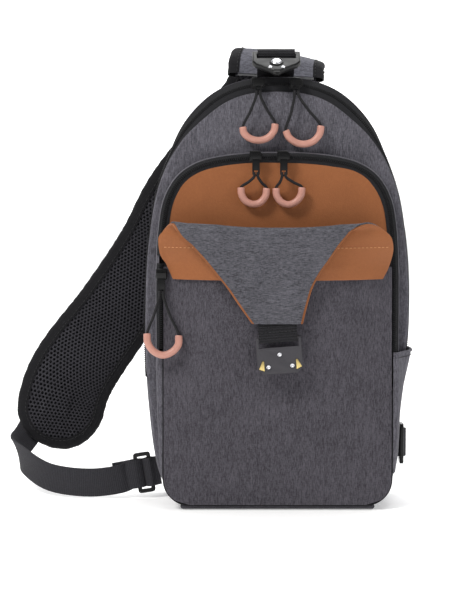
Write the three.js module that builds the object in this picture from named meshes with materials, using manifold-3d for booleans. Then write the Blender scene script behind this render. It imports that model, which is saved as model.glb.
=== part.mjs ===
// A one-strap sling bag with a magnetic tongue flap, built piece by piece.
// Millimetres. +X is the right of the front, +Y the back (the wearer's side), +Z up.
// The origin is the middle of the flat underside of the base panel.
import * as THREE from "three";
import Module from "manifold-3d";
import { mergeVertices } from "three/addons/utils/BufferGeometryUtils.js";

const wasm = await Module();
wasm.setup();

// ---------------------------------------------------------------- driving dimensions
const BAG_HEIGHT = 368;
const BASE_THICKNESS = 1.8;
const BACK_Y = 46; // outer face of the back panel
const CLOTH = 2.4; // a laminated fabric wall
const GAP = 0.4; // between two pieces that are sewn face to face

const MAIN_FRONT = { atBase: -24, atTop: -12 }; // the main compartment's front face
const ARCH_TOP = 304; // crown of the front compartment
const ARCH_FRONT = { atBase: -43, atTop: -26 }; // the front compartment's face
const ZIP_END = 106; // height at which the main and the front zip stop
const SIDE_ZIP = { bottom: 140, top: 212 }; // the short zip on the left, below the flap's band
const TAPE = 1.6; // thickness of a zip tape with its chain

const PANEL_HALF = 95; // pocket panel
const PANEL_BOTTOM = 6;
const PANEL_TOP = 207;
const MOUTH_BULGE = 25; // how far the pocket mouth stands open
const FOLD = { y: -64, z: 241 }; // axis on which the flap folds
const FLAP_TIP = 161;
const TONGUE_WEB = 32; // webbing width at the tongue
const PLATE = { width: 38, height: 31, thickness: 4.6, top: 150 };
const STRAP_WEB = 25; // webbing width of the strap

// Half width of the body at each height, from the base up.
const UPPER_PROFILE = [
  [113, 205], [110, 236], [104.5, 268], [94, 300], [82, 326], [66.5, 345], [49, 358], [26, 366],
];
const LEFT_PROFILE = [
  [78, 3.6], [92, 7.6], [102, 24], [107, 45], [111, 78], [113.5, 110], [114.3, 147], ...UPPER_PROFILE,
];
const RIGHT_PROFILE = [
  [78, 3.6], [91, 7.6], [101, 24], [103, 45], [104, 78], [107, 104], [111.5, 130],
  [113.6, 160], ...UPPER_PROFILE,
];
const ARCH_PROFILE = [
  [76, 5], [90, 9], [98.5, 24], [102, 60], [103.5, 100], [104, 150], [103.8, 208], [102, 240],
  [98.5, 261], [92, 276], [83, 287], [68, 296], [48, 301], [24, 303.6],
];

// ---------------------------------------------------------------- materials
const paint = (colour, roughness, metalness = 0) =>
  new THREE.MeshStandardMaterial({ color: colour, roughness, metalness });
const heather = paint(0x57565b, 0.92);
const blackTape = paint(0x1f2023, 0.85);
const tan = paint(0xa0622f, 0.75);
const meshBlack = paint(0x232326, 0.9);
const webbing = paint(0x2c2c30, 0.85);
const hardBlack = paint(0x17181a, 0.35, 0.4);
const plateGrey = paint(0x38393c, 0.5, 0.1);
const brass = paint(0xd2b466, 0.35, 0.9);
const steel = paint(0xc9c9cc, 0.25, 1);
const rose = paint(0xc98573, 0.5);
const foam = paint(0x8f8f8f, 1);

// ---------------------------------------------------------------- helpers
const V = (x, y, z) => new THREE.Vector3(x, y, z);
const lerp = THREE.MathUtils.lerp;
const smooth = THREE.MathUtils.smoothstep;
const bag = new THREE.Group();

function add(name, geometry, material) {
  const mesh = new THREE.Mesh(geometry, material);
  mesh.name = name;
  bag.add(mesh);
  return mesh;
}

// Signed volume, used to turn a skin so that its faces point out.
function facingOut(points, faces) {
  let volume = 0;
  for (const [a, b, c] of faces) {
    volume += points[a].dot(new THREE.Vector3().crossVectors(points[b], points[c]));
  }
  return volume < 0 ? faces.map(([a, b, c]) => [a, c, b]) : faces;
}

function geometryOf(points, faces) {
  const turned = facingOut(points, faces);
  const geometry = new THREE.BufferGeometry();
  geometry.setAttribute(
    "position",
    new THREE.Float32BufferAttribute(points.flatMap((p) => p.toArray()), 3),
  );
  geometry.setIndex(turned.flat());
  geometry.computeVertexNormals();
  return geometry;
}

// Triangles that close one end of a skin, found in the plane that the ring lies closest to.
function capFaces(ring, offset) {
  const normal = new THREE.Vector3();
  ring.forEach((p, i) => {
    const q = ring[(i + 1) % ring.length];
    normal.x += (p.y - q.y) * (p.z + q.z);
    normal.y += (p.z - q.z) * (p.x + q.x);
    normal.z += (p.x - q.x) * (p.y + q.y);
  });
  const across = Math.abs(normal.z) > 0.9 * normal.length() ? V(1, 0, 0) : V(0, 0, 1);
  const u = new THREE.Vector3().crossVectors(across, normal).normalize();
  const v = new THREE.Vector3().crossVectors(normal, u).normalize();
  const flat = ring.map((p) => new THREE.Vector2(p.dot(u), p.dot(v)));
  return THREE.ShapeUtils.triangulateShape(flat, []).map((f) => f.map((i) => i + offset));
}

// Joins a row of equal rings into one closed skin: a loop, or a run with two closed ends.
function sweep(rings, loop = false) {
  const n = rings[0].length;
  const points = rings.flat();
  const faces = [];
  const spans = loop ? rings.length : rings.length - 1;
  for (let k = 0; k < spans; k += 1) {
    const next = (k + 1) % rings.length;
    for (let i = 0; i < n; i += 1) {
      const j = (i + 1) % n;
      const [a, b, c, d] = [k * n + i, k * n + j, next * n + j, next * n + i];
      faces.push([a, b, c], [a, c, d]);
    }
  }
  if (!loop) {
    faces.push(...capFaces(rings[0], 0).map(([a, b, c]) => [a, c, b]));
    faces.push(...capFaces(rings[rings.length - 1], (rings.length - 1) * n));
  }
  return geometryOf(points, faces);
}

function solid(geometry) {
  const bare = geometry.clone();
  bare.deleteAttribute("normal");
  bare.deleteAttribute("uv");
  const merged = mergeVertices(bare, 1e-3);
  return new wasm.Manifold(
    new wasm.Mesh({
      numProp: 3,
      vertProperties: merged.attributes.position.array,
      triVerts: new Uint32Array(merged.index.array),
    }),
  );
}

function skin(manifold) {
  const mesh = manifold.getMesh();
  const geometry = new THREE.BufferGeometry();
  geometry.setAttribute("position", new THREE.Float32BufferAttribute([...mesh.vertProperties], 3));
  geometry.setIndex([...mesh.triVerts]);
  geometry.computeVertexNormals();
  return geometry;
}

const cut = (body, ...tools) =>
  skin(tools.reduce((left, tool) => left.subtract(solid(tool)), solid(body)));

function box(wide, deep, high, x, y, z) {
  return new THREE.BoxGeometry(wide, deep, high).translate(x, y, z);
}

// A cylinder whose axis runs along X, Y or Z.
function rod(radius, length, axis, x, y, z, sides = 16) {
  const made = new THREE.CylinderGeometry(radius, radius, length, sides);
  if (axis === "x") made.rotateZ(Math.PI / 2);
  if (axis === "z") made.rotateX(Math.PI / 2);
  return made.translate(x, y, z);
}

// An outline in the front plane (x, z), extruded along Y from back to front and turned to stand up.
function plate(shape, thickness, curveSegments = 6, bevel = 0) {
  const made = new THREE.ExtrudeGeometry(shape, {
    depth: thickness - 2 * bevel,
    curveSegments,
    bevelEnabled: bevel > 0,
    bevelThickness: bevel,
    bevelSize: bevel,
    bevelOffset: -bevel,
    bevelSegments: 1,
  });
  return made.rotateX(Math.PI / 2).translate(0, -bevel, 0); // the depth now runs to -Y
}

// Tube of a round section along a curve; a hole makes it a sleeve.
function tube(curve, radius, steps, sides = 8, hole = 0, holeSides = 8) {
  const ringOf = (r, count) =>
    Array.from({ length: count }, (_, i) => {
      const a = (2 * Math.PI * i) / count;
      return new THREE.Vector2(r * Math.cos(a), r * Math.sin(a));
    });
  const section = new THREE.Shape(ringOf(radius, sides));
  if (hole > 0) section.holes.push(new THREE.Path(ringOf(hole, holeSides).reverse()));
  return new THREE.ExtrudeGeometry(section, { steps, extrudePath: curve });
}

// ---------------------------------------------------------------- outlines of the body
// A closed outline through both profiles, as evenly spaced points (x, z), anticlockwise from the base's middle.
function outline(right, left, top, count) {
  const side = (profile, sign) => profile.map(([w, z]) => V(sign * w, 0, z));
  const knots = [
    V(0, 0, right[0][1]), ...side(right, 1), V(0, 0, top), ...side(left, -1).reverse(),
  ];
  const curve = new THREE.CatmullRomCurve3(knots, true, "centripetal");
  return curve.getSpacedPoints(count).slice(0, count);
}

function inwards(points, i) {
  const n = points.length;
  const along = points[(i + 1) % n].clone().sub(points[(i + n - 1) % n]).normalize();
  return V(-along.z, 0, along.x); // left of an anticlockwise walk, which is the inside
}

const BODY_COUNT = 72;
const bodyLine = outline(RIGHT_PROFILE, LEFT_PROFILE, BAG_HEIGHT, BODY_COUNT);
const ARCH_COUNT = 64;
const archLine = outline(ARCH_PROFILE, ARCH_PROFILE, ARCH_TOP, ARCH_COUNT);

const mainFrontY = (z) => lerp(MAIN_FRONT.atBase, MAIN_FRONT.atTop, z / 350);
const archFrontY = (z) => lerp(ARCH_FRONT.atBase, ARCH_FRONT.atTop, z / ARCH_TOP);

// The point of an outline moved in by inset and set at depth y.
function rim(line, i, inset, y) {
  return line[i].clone().addScaledVector(inwards(line, i), inset).setY(y);
}
const loopOf = (line, inset, depth) => line.map((p, i) => rim(line, i, inset, depth(p.z)));
const loopWith = (line, insetAt, depth) => line.map((p, i) => rim(line, i, insetAt(p.z), depth(p.z)));

// ---------------------------------------------------------------- the main compartment
const ZIP_START = -5; // depth at which the gusset meets the main zip
const cornerInset = (z) => lerp(2.4, 12, smooth(z, 275, 358)); // how far the front corner rounds in

// Wall of the gusset: straight from the back panel, and below the zip's ends it turns the front corner too.
const BACK_PANEL = { thickness: 5 - GAP, edge: 2, round: 5 };
const gussetBack = BACK_Y - BACK_PANEL.thickness - GAP;
const gussetBend = ZIP_START + 6;
function gussetRing(i) {
  const z = bodyLine[i].z;
  const frontY = z > ZIP_END ? ZIP_START : mainFrontY(z) + 3;
  const inset = z > ZIP_END ? 0 : cornerInset(z) * 0.6;
  return [
    rim(bodyLine, i, 0, gussetBack),
    rim(bodyLine, i, 0, gussetBend),
    rim(bodyLine, i, inset, frontY),
    rim(bodyLine, i, inset + CLOTH, frontY),
    rim(bodyLine, i, CLOTH, gussetBend),
    rim(bodyLine, i, CLOTH, gussetBack),
  ];
}
add("side_gusset", sweep(bodyLine.map((_, i) => gussetRing(i)), true), heather);

add("back_panel", sweep([
  loopOf(bodyLine, 0.6, () => BACK_Y - BACK_PANEL.thickness),
  loopOf(bodyLine, 1.2, () => BACK_Y - BACK_PANEL.edge),
  loopOf(bodyLine, BACK_PANEL.round, () => BACK_Y),
]), meshBlack);

const foamInset = CLOTH + 3;
const foamThickness = 4.6;
add("back_foam", sweep([
  loopOf(bodyLine, foamInset, () => gussetBack - foamThickness),
  loopOf(bodyLine, foamInset, () => gussetBack),
]), foam);

const panelInset = (z) => cornerInset(z) + 1.4;
add("main_front_panel", sweep([
  loopWith(bodyLine, panelInset, (z) => mainFrontY(z) + CLOTH),
  loopWith(bodyLine, panelInset, (z) => mainFrontY(z)),
]), heather);

// Zip tape around an arched line: the part of the line above the zip's ends.
function runAbove(line, lowestRight, lowestLeft) {
  return line.map((_, i) => i).filter((i) => line[i].z > (line[i].x > 0 ? lowestRight : lowestLeft));
}
// A tape along part of an outline: its face passes through the given places, its back lies behind them.
function band(line, run, places, thickness) {
  return sweep(run.map((i) => {
    const face = places.map((place) => {
      const { inset, y } = place(line[i].z);
      return rim(line, i, inset, y);
    });
    const behind = inwards(line, i).multiplyScalar(thickness * 0.6).setY(thickness * 0.8);
    const back = face.map((p) => p.clone().add(behind)).reverse();
    return [...face, ...back];
  }));
}
const mainRun = runAbove(bodyLine, ZIP_END + 4, ZIP_END + 4);
const zipStart = () => ({ inset: 0.6, y: ZIP_START - TAPE - GAP });
const zipMiddle = (z) => ({
  inset: cornerInset(z) * 0.5, y: lerp(ZIP_START - TAPE, mainFrontY(z), 0.6),
});
const zipFinish = (z) => ({ inset: cornerInset(z) - 0.4, y: mainFrontY(z) + 0.5 });
add("main_zip", band(bodyLine, mainRun, [zipStart, zipMiddle, zipFinish], TAPE), blackTape);

add("base_panel", plate(new THREE.Shape([
  new THREE.Vector2(-84, -40), new THREE.Vector2(-80, -42), new THREE.Vector2(80, -42),
  new THREE.Vector2(84, -40), new THREE.Vector2(84, 36), new THREE.Vector2(80, 40),
  new THREE.Vector2(-80, 40), new THREE.Vector2(-84, 36),
]), BASE_THICKNESS).rotateX(-Math.PI / 2), blackTape);

// ---------------------------------------------------------------- the front compartment
const archSkin = 1.2; // how far the gusset's front edge rounds in
function archRing(i) {
  const z = archLine[i].z;
  const back = mainFrontY(z) - GAP;
  const front = archFrontY(z) + 3.2;
  return [
    rim(archLine, i, 0, back),
    rim(archLine, i, archSkin, front),
    rim(archLine, i, archSkin + CLOTH, front),
    rim(archLine, i, CLOTH, back),
  ];
}
add("front_gusset", sweep(archLine.map((_, i) => archRing(i)), true), heather);

const archEdge = (inset, dy) => (z) => ({ inset, y: archFrontY(z) + dy });
const archOuter = [archEdge(0.6, 1.2), archEdge(4.2, -1.2)];
const archInner = [archEdge(4.8, -1.4), archEdge(8.6, -1)];
const archTapeRun = runAbove(archLine, ZIP_END, SIDE_ZIP.top + 2);
add("arch_zip_tape_outer", band(archLine, archTapeRun, archOuter, TAPE), blackTape);
add("arch_zip_tape_inner", band(archLine, archTapeRun, archInner, TAPE), blackTape);

// The side zip goes on where the arch's left leg ends.
const sideRun = archLine.map((_, i) => i).filter((i) =>
  archLine[i].x < 0 && archLine[i].z > SIDE_ZIP.bottom && archLine[i].z < SIDE_ZIP.top);
add("side_zip", band(archLine, sideRun, [...archOuter, ...archInner.slice(1)], TAPE), blackTape);

const ORGANISER_INSET = 9;
add("organiser_panel", sweep([
  loopOf(archLine, ORGANISER_INSET, (z) => archFrontY(z) + CLOTH + 0.6),
  loopOf(archLine, ORGANISER_INSET, (z) => archFrontY(z) + 0.6),
]), tan);

// ---------------------------------------------------------------- the stash pocket
// How far the pocket's wall stands in front of the organiser panel.
function pocketBulge(x, z) {
  const rise = MOUTH_BULGE * Math.pow(Math.min(z, PANEL_TOP) / PANEL_TOP, 1.5);
  return rise * (1 - Math.pow(Math.abs(x) / PANEL_HALF, 2.6));
}
const pocketY = (x, z) => archFrontY(z) - 1.6 - pocketBulge(x, z);

// A wall that follows a height-by-height curve: rows of (z, from x, to x), y given at each point.
function wall(rows, depth, thickness, columns = 12) {
  return sweep(rows.map(([z, from, to]) => {
    const front = [];
    const back = [];
    for (let k = 0; k <= columns; k += 1) {
      const x = lerp(from, to, k / columns);
      front.push(V(x, depth(x, z) - thickness, z));
      back.unshift(V(x, depth(x, z), z));
    }
    return [...front, ...back];
  }));
}
const panelRows = [PANEL_BOTTOM, 14, 60, 105, 150, 182, PANEL_TOP].map((z) => {
  const half = z < 12 ? PANEL_HALF - 10 : PANEL_HALF;
  return [z, -half, half];
});
add("pocket_panel", wall(panelRows, pocketY, CLOTH), heather);

// Cord sewn round the pocket panel's sides and bottom.
const pipingCorner = 14;
const pipingX = PANEL_HALF + 2.4;
const pipingZ = PANEL_BOTTOM - 2.6;
const pipingAt = (x, z) => V(x, archFrontY(z) - 2.6, z);
const pipingLine = new THREE.CatmullRomCurve3([
  pipingAt(-pipingX, SIDE_ZIP.bottom - 4), pipingAt(-pipingX, 70), pipingAt(-pipingX, pipingZ + pipingCorner),
  pipingAt(-pipingX + pipingCorner * 0.3, pipingZ + pipingCorner * 0.3),
  pipingAt(-pipingX + pipingCorner, pipingZ), pipingAt(0, pipingZ),
  pipingAt(pipingX - pipingCorner, pipingZ),
  pipingAt(pipingX - pipingCorner * 0.3, pipingZ + pipingCorner * 0.3),
  pipingAt(pipingX, pipingZ + pipingCorner), pipingAt(pipingX, 70), pipingAt(pipingX, ZIP_END - 4),
], false, "centripetal");
add("panel_piping", tube(pipingLine, 1.3, 46, 6), blackTape);

// The fixed band of the flap: sewn outside the panel's top, free at both ends, standing up to the fold.
const bandY = (x, z) => {
  const sewn = pocketY(x, Math.min(z, PANEL_TOP)) - CLOTH - 1;
  const mouth = FOLD.y + 7 + 10 * Math.pow(Math.abs(x) / 100, 4);
  return lerp(sewn, Math.min(sewn, mouth), smooth(z, PANEL_TOP, FOLD.z - 4));
};
const BAND_ROWS = [[197, -89, 89], [209, -95, 95], [222, -101, 97], [231, -101, 95], [238, -90, 84]];
add("flap_band", wall(BAND_ROWS, bandY, 2.2, 14), tan);

// ---------------------------------------------------------------- the flap
// Left and right edge of the hanging flap at each height.
const FLAP_ROWS = [
  [238, -85, 61], [227, -73, 51], [215, -62, 43], [202, -51.5, 34], [190, -42, 28], [176, -32.5, 24],
  [FLAP_TIP, -22, 20.5],
];
const flapY = (x, z) => lerp(FOLD.y - 0.6, FOLD.y + 3.4, smooth(FOLD.z - z, 34, 85));
add("flap_shell", wall(FLAP_ROWS, flapY, 1.6, 6), tan);
add("flap_lining", wall(FLAP_ROWS, (x, z) => flapY(x, z) - 1.6 - GAP, 1.4, 6), heather);

// ---------------------------------------------------------------- the tongue and its magnetic plate
const TILT = THREE.MathUtils.degToRad(4.5); // the tongue hangs a little askew
const tongueY = FOLD.y + 1.6;
const tilted = (geometry) =>
  geometry.translate(0, 0, -FLAP_TIP).rotateY(-TILT).translate(0, 0, FLAP_TIP);
const TONGUE_X = -1;

// A strip of webbing along a line in the plane y, z, its width along X.
function ribbon(line, width, thickness, x, steps = 22) {
  const curve = new THREE.CatmullRomCurve3(line.map(([y, z]) => V(0, y, z)), false, "centripetal");
  return sweep(curve.getSpacedPoints(steps).map((p, k) => {
    const along = curve.getTangentAt(k / steps);
    const out = V(0, -along.z, along.y).multiplyScalar(thickness / 2);
    return [
      V(x - width / 2, p.y - out.y, p.z - out.z), V(x + width / 2, p.y - out.y, p.z - out.z),
      V(x + width / 2, p.y + out.y, p.z + out.z), V(x - width / 2, p.y + out.y, p.z + out.z),
    ];
  }));
}

// The tongue's webbing hangs from the flap's tip, round the plate's top bar and back up.
const barReach = PLATE.thickness / 2 + 1.5;
add("tongue_webbing", tilted(ribbon([
  [tongueY + 1, FLAP_TIP - 1.4], [tongueY + barReach, PLATE.top + 2],
  [tongueY + barReach, PLATE.top - 2.6], [tongueY, PLATE.top - 4.6],
  [tongueY - barReach, PLATE.top - 2.6], [tongueY - barReach, PLATE.top + 2],
  [tongueY - 1, FLAP_TIP - 1.4],
], TONGUE_WEB, 1.4, TONGUE_X, 28)), webbing);

const plateMiddle = PLATE.top - PLATE.height / 2;
function plateShape() {
  const w = PLATE.width / 2;
  const h = PLATE.height / 2;
  return new THREE.Shape()
    .moveTo(-w + 1.5, h).lineTo(-w, h - 1.5).lineTo(-w, -h + 5).lineTo(-w + 5, -h)
    .lineTo(w - 5, -h).lineTo(w, -h + 5).lineTo(w, h - 1.5).lineTo(w - 1.5, h).closePath();
}
const plateSlot = box(TONGUE_WEB + 1.4, 12, 5.6, 0, 0, PLATE.height / 2 - 5.7);
const rivetSpots = [[0, 1], [-10, -9], [10, -9]];
const RIVET_RADIUS = 1.7;
// Arrow head let into a lower corner of the plate; grow widens it on every side.
function arrowShape(sign, grow) {
  return new THREE.Shape([
    [13.4 - grow, -4 + grow], [14.8 + grow / 2, -4 + grow], [18 + grow, -10.4 - grow / 2],
    [13.4 - grow, -12.4 - grow],
  ].map(([x, z]) => new THREE.Vector2(sign * x, z)));
}
const plateFace = tongueY - PLATE.thickness / 2;
const onPlate = (geometry) => tilted(geometry.translate(TONGUE_X, plateFace, plateMiddle));
const magnetRadius = 4.8;
const plateBody = plate(plateShape(), PLATE.thickness, 4, 0.6).translate(0, PLATE.thickness, 0);
add("tongue_plate", onPlate(cut(plateBody, plateSlot,
  ...rivetSpots.map(([x, z]) => rod(RIVET_RADIUS + 0.3, 2, "y", x, 0, z, 12)),
  ...[-1, 1].map((side) => plate(arrowShape(side, 0.3), 2).translate(0, 1, 0)),
  rod(magnetRadius + 0.3, 4, "y", 0, PLATE.thickness, -2, 18))), plateGrey);
rivetSpots.forEach(([x, z], i) => {
  add(`plate_rivet_${i + 1}`, onPlate(rod(RIVET_RADIUS, 1.1, "y", x, 0.1, z, 12)), steel);
});
[-1, 1].forEach((side) => {
  add(`plate_arrow_${side < 0 ? "left" : "right"}`,
    onPlate(plate(arrowShape(side, 0), 0.9).translate(0, 0.6, 0)), brass);
});
add("plate_magnet",
  onPlate(rod(magnetRadius, 1.6, "y", 0, PLATE.thickness - 0.8, -2, 18)), steel);

// ---------------------------------------------------------------- the catch at the top of the bag
const CATCH = { x: -1, pivotY: -6, pivotZ: 386.7, width: 41, thickness: 5.4 };
const CATCH_LEAN = THREE.MathUtils.degToRad(-55);
// The catch is drawn hanging from its bar at the origin, then leant forward and moved to the bar's place.
const atCatch = (geometry) =>
  geometry.rotateX(CATCH_LEAN).translate(CATCH.x, CATCH.pivotY, CATCH.pivotZ);
function catchShape() {
  const w = CATCH.width / 2;
  return new THREE.Shape()
    .moveTo(-w, 2.6).lineTo(-w, -13).lineTo(-w + 3, -17.5).lineTo(-6.5, -24.5).lineTo(-3, -27.5)
    .lineTo(3, -27.5).lineTo(6.5, -24.5).lineTo(w - 3, -17.5).lineTo(w, -13).lineTo(w, 2.6)
    .closePath();
}
const catchWindow = box(TONGUE_WEB + 1.2, 14, 6.4, 0, 0, -5.6);
const capSpot = { z: -14.4, radius: 4.6 };
const catchBlank = plate(catchShape(), CATCH.thickness, 4, 0.9).translate(0, CATCH.thickness / 2, 0);
add("catch_body", atCatch(cut(catchBlank, catchWindow,
  rod(capSpot.radius + 0.3, 2, "y", 0, -CATCH.thickness / 2, capSpot.z, 18),
  rod(magnetRadius + 0.3, 3.6, "y", 0, CATCH.thickness / 2, capSpot.z, 18))), hardBlack);
add("catch_cap", atCatch(
  rod(capSpot.radius, 1.4, "y", 0, -CATCH.thickness / 2 - 0.1, capSpot.z, 18)), steel);
add("catch_magnet", atCatch(
  rod(magnetRadius, 1.4, "y", 0, CATCH.thickness / 2 - 0.8, capSpot.z, 18)), steel);

// Webbing loop that holds the catch: from the strap's root forward, round the bar and back.
const barRound = 4.9;
add("catch_webbing", ribbon([
  [35, 371.4], [20, 376], [6, 386.4],
  [CATCH.pivotY + 1, CATCH.pivotZ + barRound + 0.4],
  [CATCH.pivotY - barRound * 0.74, CATCH.pivotZ + barRound * 0.74],
  [CATCH.pivotY - barRound, CATCH.pivotZ],
  [CATCH.pivotY - barRound * 0.74, CATCH.pivotZ - barRound * 0.74],
  [CATCH.pivotY, CATCH.pivotZ - barRound], [4, 377.6], [17, 371.4], [33, 369.3],
], TONGUE_WEB, 1.4, CATCH.x, 30), webbing);

// ---------------------------------------------------------------- zip sliders and their pulls
const SLIDER = { width: 9.4, length: 11, thickness: 4.2 };
// Where a tab hinges, measured from the middle of the slider's back.
const TAB_PIN = { y: -SLIDER.thickness - 1.3, z: -3.2 };
// A slider's wedge lies along its chain, at a turn from X; the bridge on its face is open for the tab.
function sliderGeometry(turn) {
  const half = SLIDER.length / 2;
  const side = SLIDER.width / 2;
  const shape = new THREE.Shape()
    .moveTo(-half, -side).lineTo(half - 3, -side).lineTo(half, -side + 2.4).lineTo(half, side - 2.4)
    .lineTo(half - 3, side).lineTo(-half, side).closePath();
  const wedge = plate(shape, SLIDER.thickness, 2, 0.5).rotateY(turn);
  const bridge = box(8.4, 3.6, 4.4, 0, -SLIDER.thickness - 1.4, 0);
  const joined = skin(solid(wedge).add(solid(bridge)));
  return cut(joined, box(6.4, 2, 12, 0, -SLIDER.thickness - 1.1, 0));
}

const CORD_RADIUS = 1.2;
const GRIP = { radius: 3.1, bore: 2 };
const TAB_THICKNESS = 1.4;
const SHORT_TAB = { width: 5.6, length: 8 };
const LONG_TAB = { width: 6.4, length: 15 };

// One pull: a tab on the slider's bridge, a cord looped through the tab's eye, and a bent sleeve on the cord.
// The grip's line is given from the tab's pin, x to the right and z up; depthAt gives y for a height.
function addPull(name, slider, turn, tabSize, gripLine, depthAt) {
  add(`${name}_slider`, sliderGeometry(turn).translate(...slider), hardBlack);
  const pin = V(slider[0], slider[1] + TAB_PIN.y, slider[2] + TAB_PIN.z);
  const half = tabSize.width / 2;
  const tabEnd = -tabSize.length;
  const tabShape = new THREE.Shape()
    .moveTo(-half, 1).lineTo(half, 1).lineTo(half, tabEnd + 3)
    .lineTo(half - 1.6, tabEnd + 1.2).lineTo(-half + 1.6, tabEnd + 1.2)
    .lineTo(-half, tabEnd + 3).closePath();
  const eyeZ = tabEnd + 4.6;
  const tab = cut(
    plate(tabShape, TAB_THICKNESS, 2).translate(0, TAB_THICKNESS / 2, 0),
    box(3.4, 9, 3.4, 0, 0, eyeZ),
  );
  const atPin = (g) => g.translate(pin.x, pin.y, pin.z);
  const front = -TAB_THICKNESS / 2 - CORD_RADIUS - GAP;
  const route = gripLine.map(([x, z]) => V(x, depthAt(z), z));
  const legs = [-1, 1].map((s) => [
    V(s * 1.5, front, eyeZ + 0.4), V(s * 1.6, front, eyeZ - 3.4),
  ]);
  const bow = (a, b, s) => a.clone().lerp(b, 0.5).add(V(-s * 0.8, -0.5, 0));
  const cordLine = new THREE.CatmullRomCurve3([
    ...legs[0], bow(legs[0][1], route[0], -1), ...route,
    bow(legs[1][1], route[route.length - 1], 1), legs[1][1], legs[1][0],
  ], false, "centripetal");
  add(`${name}_tab`, atPin(tab), hardBlack);
  add(`${name}_cord`, atPin(tube(cordLine, CORD_RADIUS, 30, 8)), webbing);
  add(`${name}_grip`, atPin(tube(
    new THREE.CatmullRomCurve3(route, false, "centripetal"), GRIP.radius, 10, 10, GRIP.bore, 8,
  )), rose);
}

const MAIN_SLIDER = { y: -13.4, z: 362.5 };
const ARCH_SLIDER = { y: -29.8, z: 300.5 };
const SIDE_SLIDER = { x: -98.6, y: -36.5, z: 200 };
const hangMain = (z) => z * 0.06 - 0.6;
const hangArch = (z) => z * 0.03 + 1;
const hangSide = (z) => z * 0.12 - 1;
addPull("main_left", [-16.5, MAIN_SLIDER.y, MAIN_SLIDER.z], 0, SHORT_TAB, [
  [-13.1, -34], [-12.1, -39.1], [-6.5, -43.9], [1.5, -45.3], [9.1, -42.5], [13.5, -36.9], [14.5, -31.3],
], hangMain);
addPull("main_right", [16, MAIN_SLIDER.y, MAIN_SLIDER.z], 0, SHORT_TAB, [
  [-9.1, -37.1], [-6.5, -42.5], [-0.5, -47.2], [7.5, -48.4], [15.1, -45.6], [19.9, -39.4], [20.9, -33],
], hangMain);
addPull("arch_left", [-18.5, ARCH_SLIDER.y, ARCH_SLIDER.z], 0, LONG_TAB, [
  [-12.6, -23], [-12.2, -29], [-8.6, -34.6], [-2.6, -37.2], [3.6, -35.6], [8, -30.2], [9, -23.6],
], hangArch);
addPull("arch_right", [5, ARCH_SLIDER.y, ARCH_SLIDER.z], 0, LONG_TAB, [
  [-6.6, -23.6], [-5.8, -30.2], [-1.8, -35.6], [4.4, -37.4], [10.4, -35], [14.6, -29.4], [15.4, -23],
], hangArch);
addPull("side", [SIDE_SLIDER.x, SIDE_SLIDER.y, SIDE_SLIDER.z], Math.PI / 2, LONG_TAB, [
  [-12, -45.4], [-11.4, -53], [-6.4, -60.4], [1.6, -63.6], [9.6, -60.6], [14.4, -54.6], [14.8, -47],
], hangSide);

// ---------------------------------------------------------------- surfaces laid along a turning line
// Stations give a middle point and the direction of the width; thickness goes along their cross product.
function laidStrip(stations) {
  const curve = new THREE.CatmullRomCurve3(stations.map((s) => V(...s.at)), false, "centripetal");
  curve.arcLengthDivisions = 400;
  const knots = stations.map((_, k) => k / (stations.length - 1));
  const length = curve.getLength();
  return {
    length,
    // u is 0..1 along the line, v across it and t through the thickness.
    point(u, v, t) {
      const time = curve.getUtoTmapping(u);
      const centre = curve.getPoint(time);
      const along = curve.getTangent(time);
      const k = Math.min(Math.floor(time * (knots.length - 1)), knots.length - 2);
      const share = smooth(time * (knots.length - 1) - k, 0, 1);
      const across = V(...stations[k].width).lerp(V(...stations[k + 1].width), share);
      across.addScaledVector(along, -across.dot(along)).normalize();
      const out = new THREE.Vector3().crossVectors(along, across);
      return centre.addScaledVector(across, v).addScaledVector(out, t);
    },
  };
}

// A layer between two depths of a strip; edge(u) gives its half width, and shift its lean to one side.
function layer(strip, from, to, edge, depth, rows, columns = 4) {
  return sweep(Array.from({ length: rows + 1 }, (_, r) => {
    const u = lerp(from, to, r / rows);
    const half = edge(u);
    const across = Array.from({ length: columns + 1 }, (__, c) => lerp(-half, half, c / columns));
    return [
      ...across.map((v) => strip.point(u, v, depth[0])),
      ...across.reverse().map((v) => strip.point(u, v, depth[1])),
    ];
  }));
}

// ---------------------------------------------------------------- the strap
const STRAP = { binding: 10, thickness: 8.4, end: 40 };
const padStrip = laidStrip([
  { at: [0, 53, 372], width: [1, 0, 0] },
  { at: [1, 60, 384], width: [0.99, 0, -0.1] },
  { at: [4, 76, 391], width: [0.98, 0, -0.16] },
  { at: [3, 95, 382], width: [0.98, 0, -0.2] },
  { at: [-10, 105, 350], width: [0.95, 0, -0.3] },
  { at: [-38, 108, 314], width: [0.8, 0, -0.6] },
  { at: [-64, 109, 284], width: [0.78, 0, -0.62] },
  { at: [-85, 109, 256], width: [0.84, 0, -0.54] },
  { at: [-107, 109, 216], width: [0.87, 0, -0.49] },
  { at: [-146, 107, 157], width: [0.83, 0, -0.55] },
  { at: [-192, 101, 88], width: [0.93, 0, -0.36] },
  { at: [-203, 96, 29], width: [1, 0, 0] },
]);
const waist = (u) => 2.4 * Math.sin(Math.PI * smooth(u, 0.35, 0.9)); // the pad is narrower half way down
const strapHalf = (u) => 39 + 4 * (1 - smooth(u, 0, 0.2)) + 1.4 * smooth(u, 0.6, 0.9) - waist(u);
const endShare = STRAP.end / padStrip.length;
const coreInset = STRAP.binding + 1.2;
const coreEdge = (u) => {
  const past = Math.max(0, (u - (1 - endShare)) / (endShare - coreInset / padStrip.length));
  return Math.max(3, (strapHalf(u) - coreInset) * Math.sqrt(Math.max(0, 1 - past * past)));
};
const coreEnd = 1 - (coreInset + 0.6) / padStrip.length;
add("strap_cover", layer(padStrip, 0, coreEnd, coreEdge, [0, 1.4], 34), heather);
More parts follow.
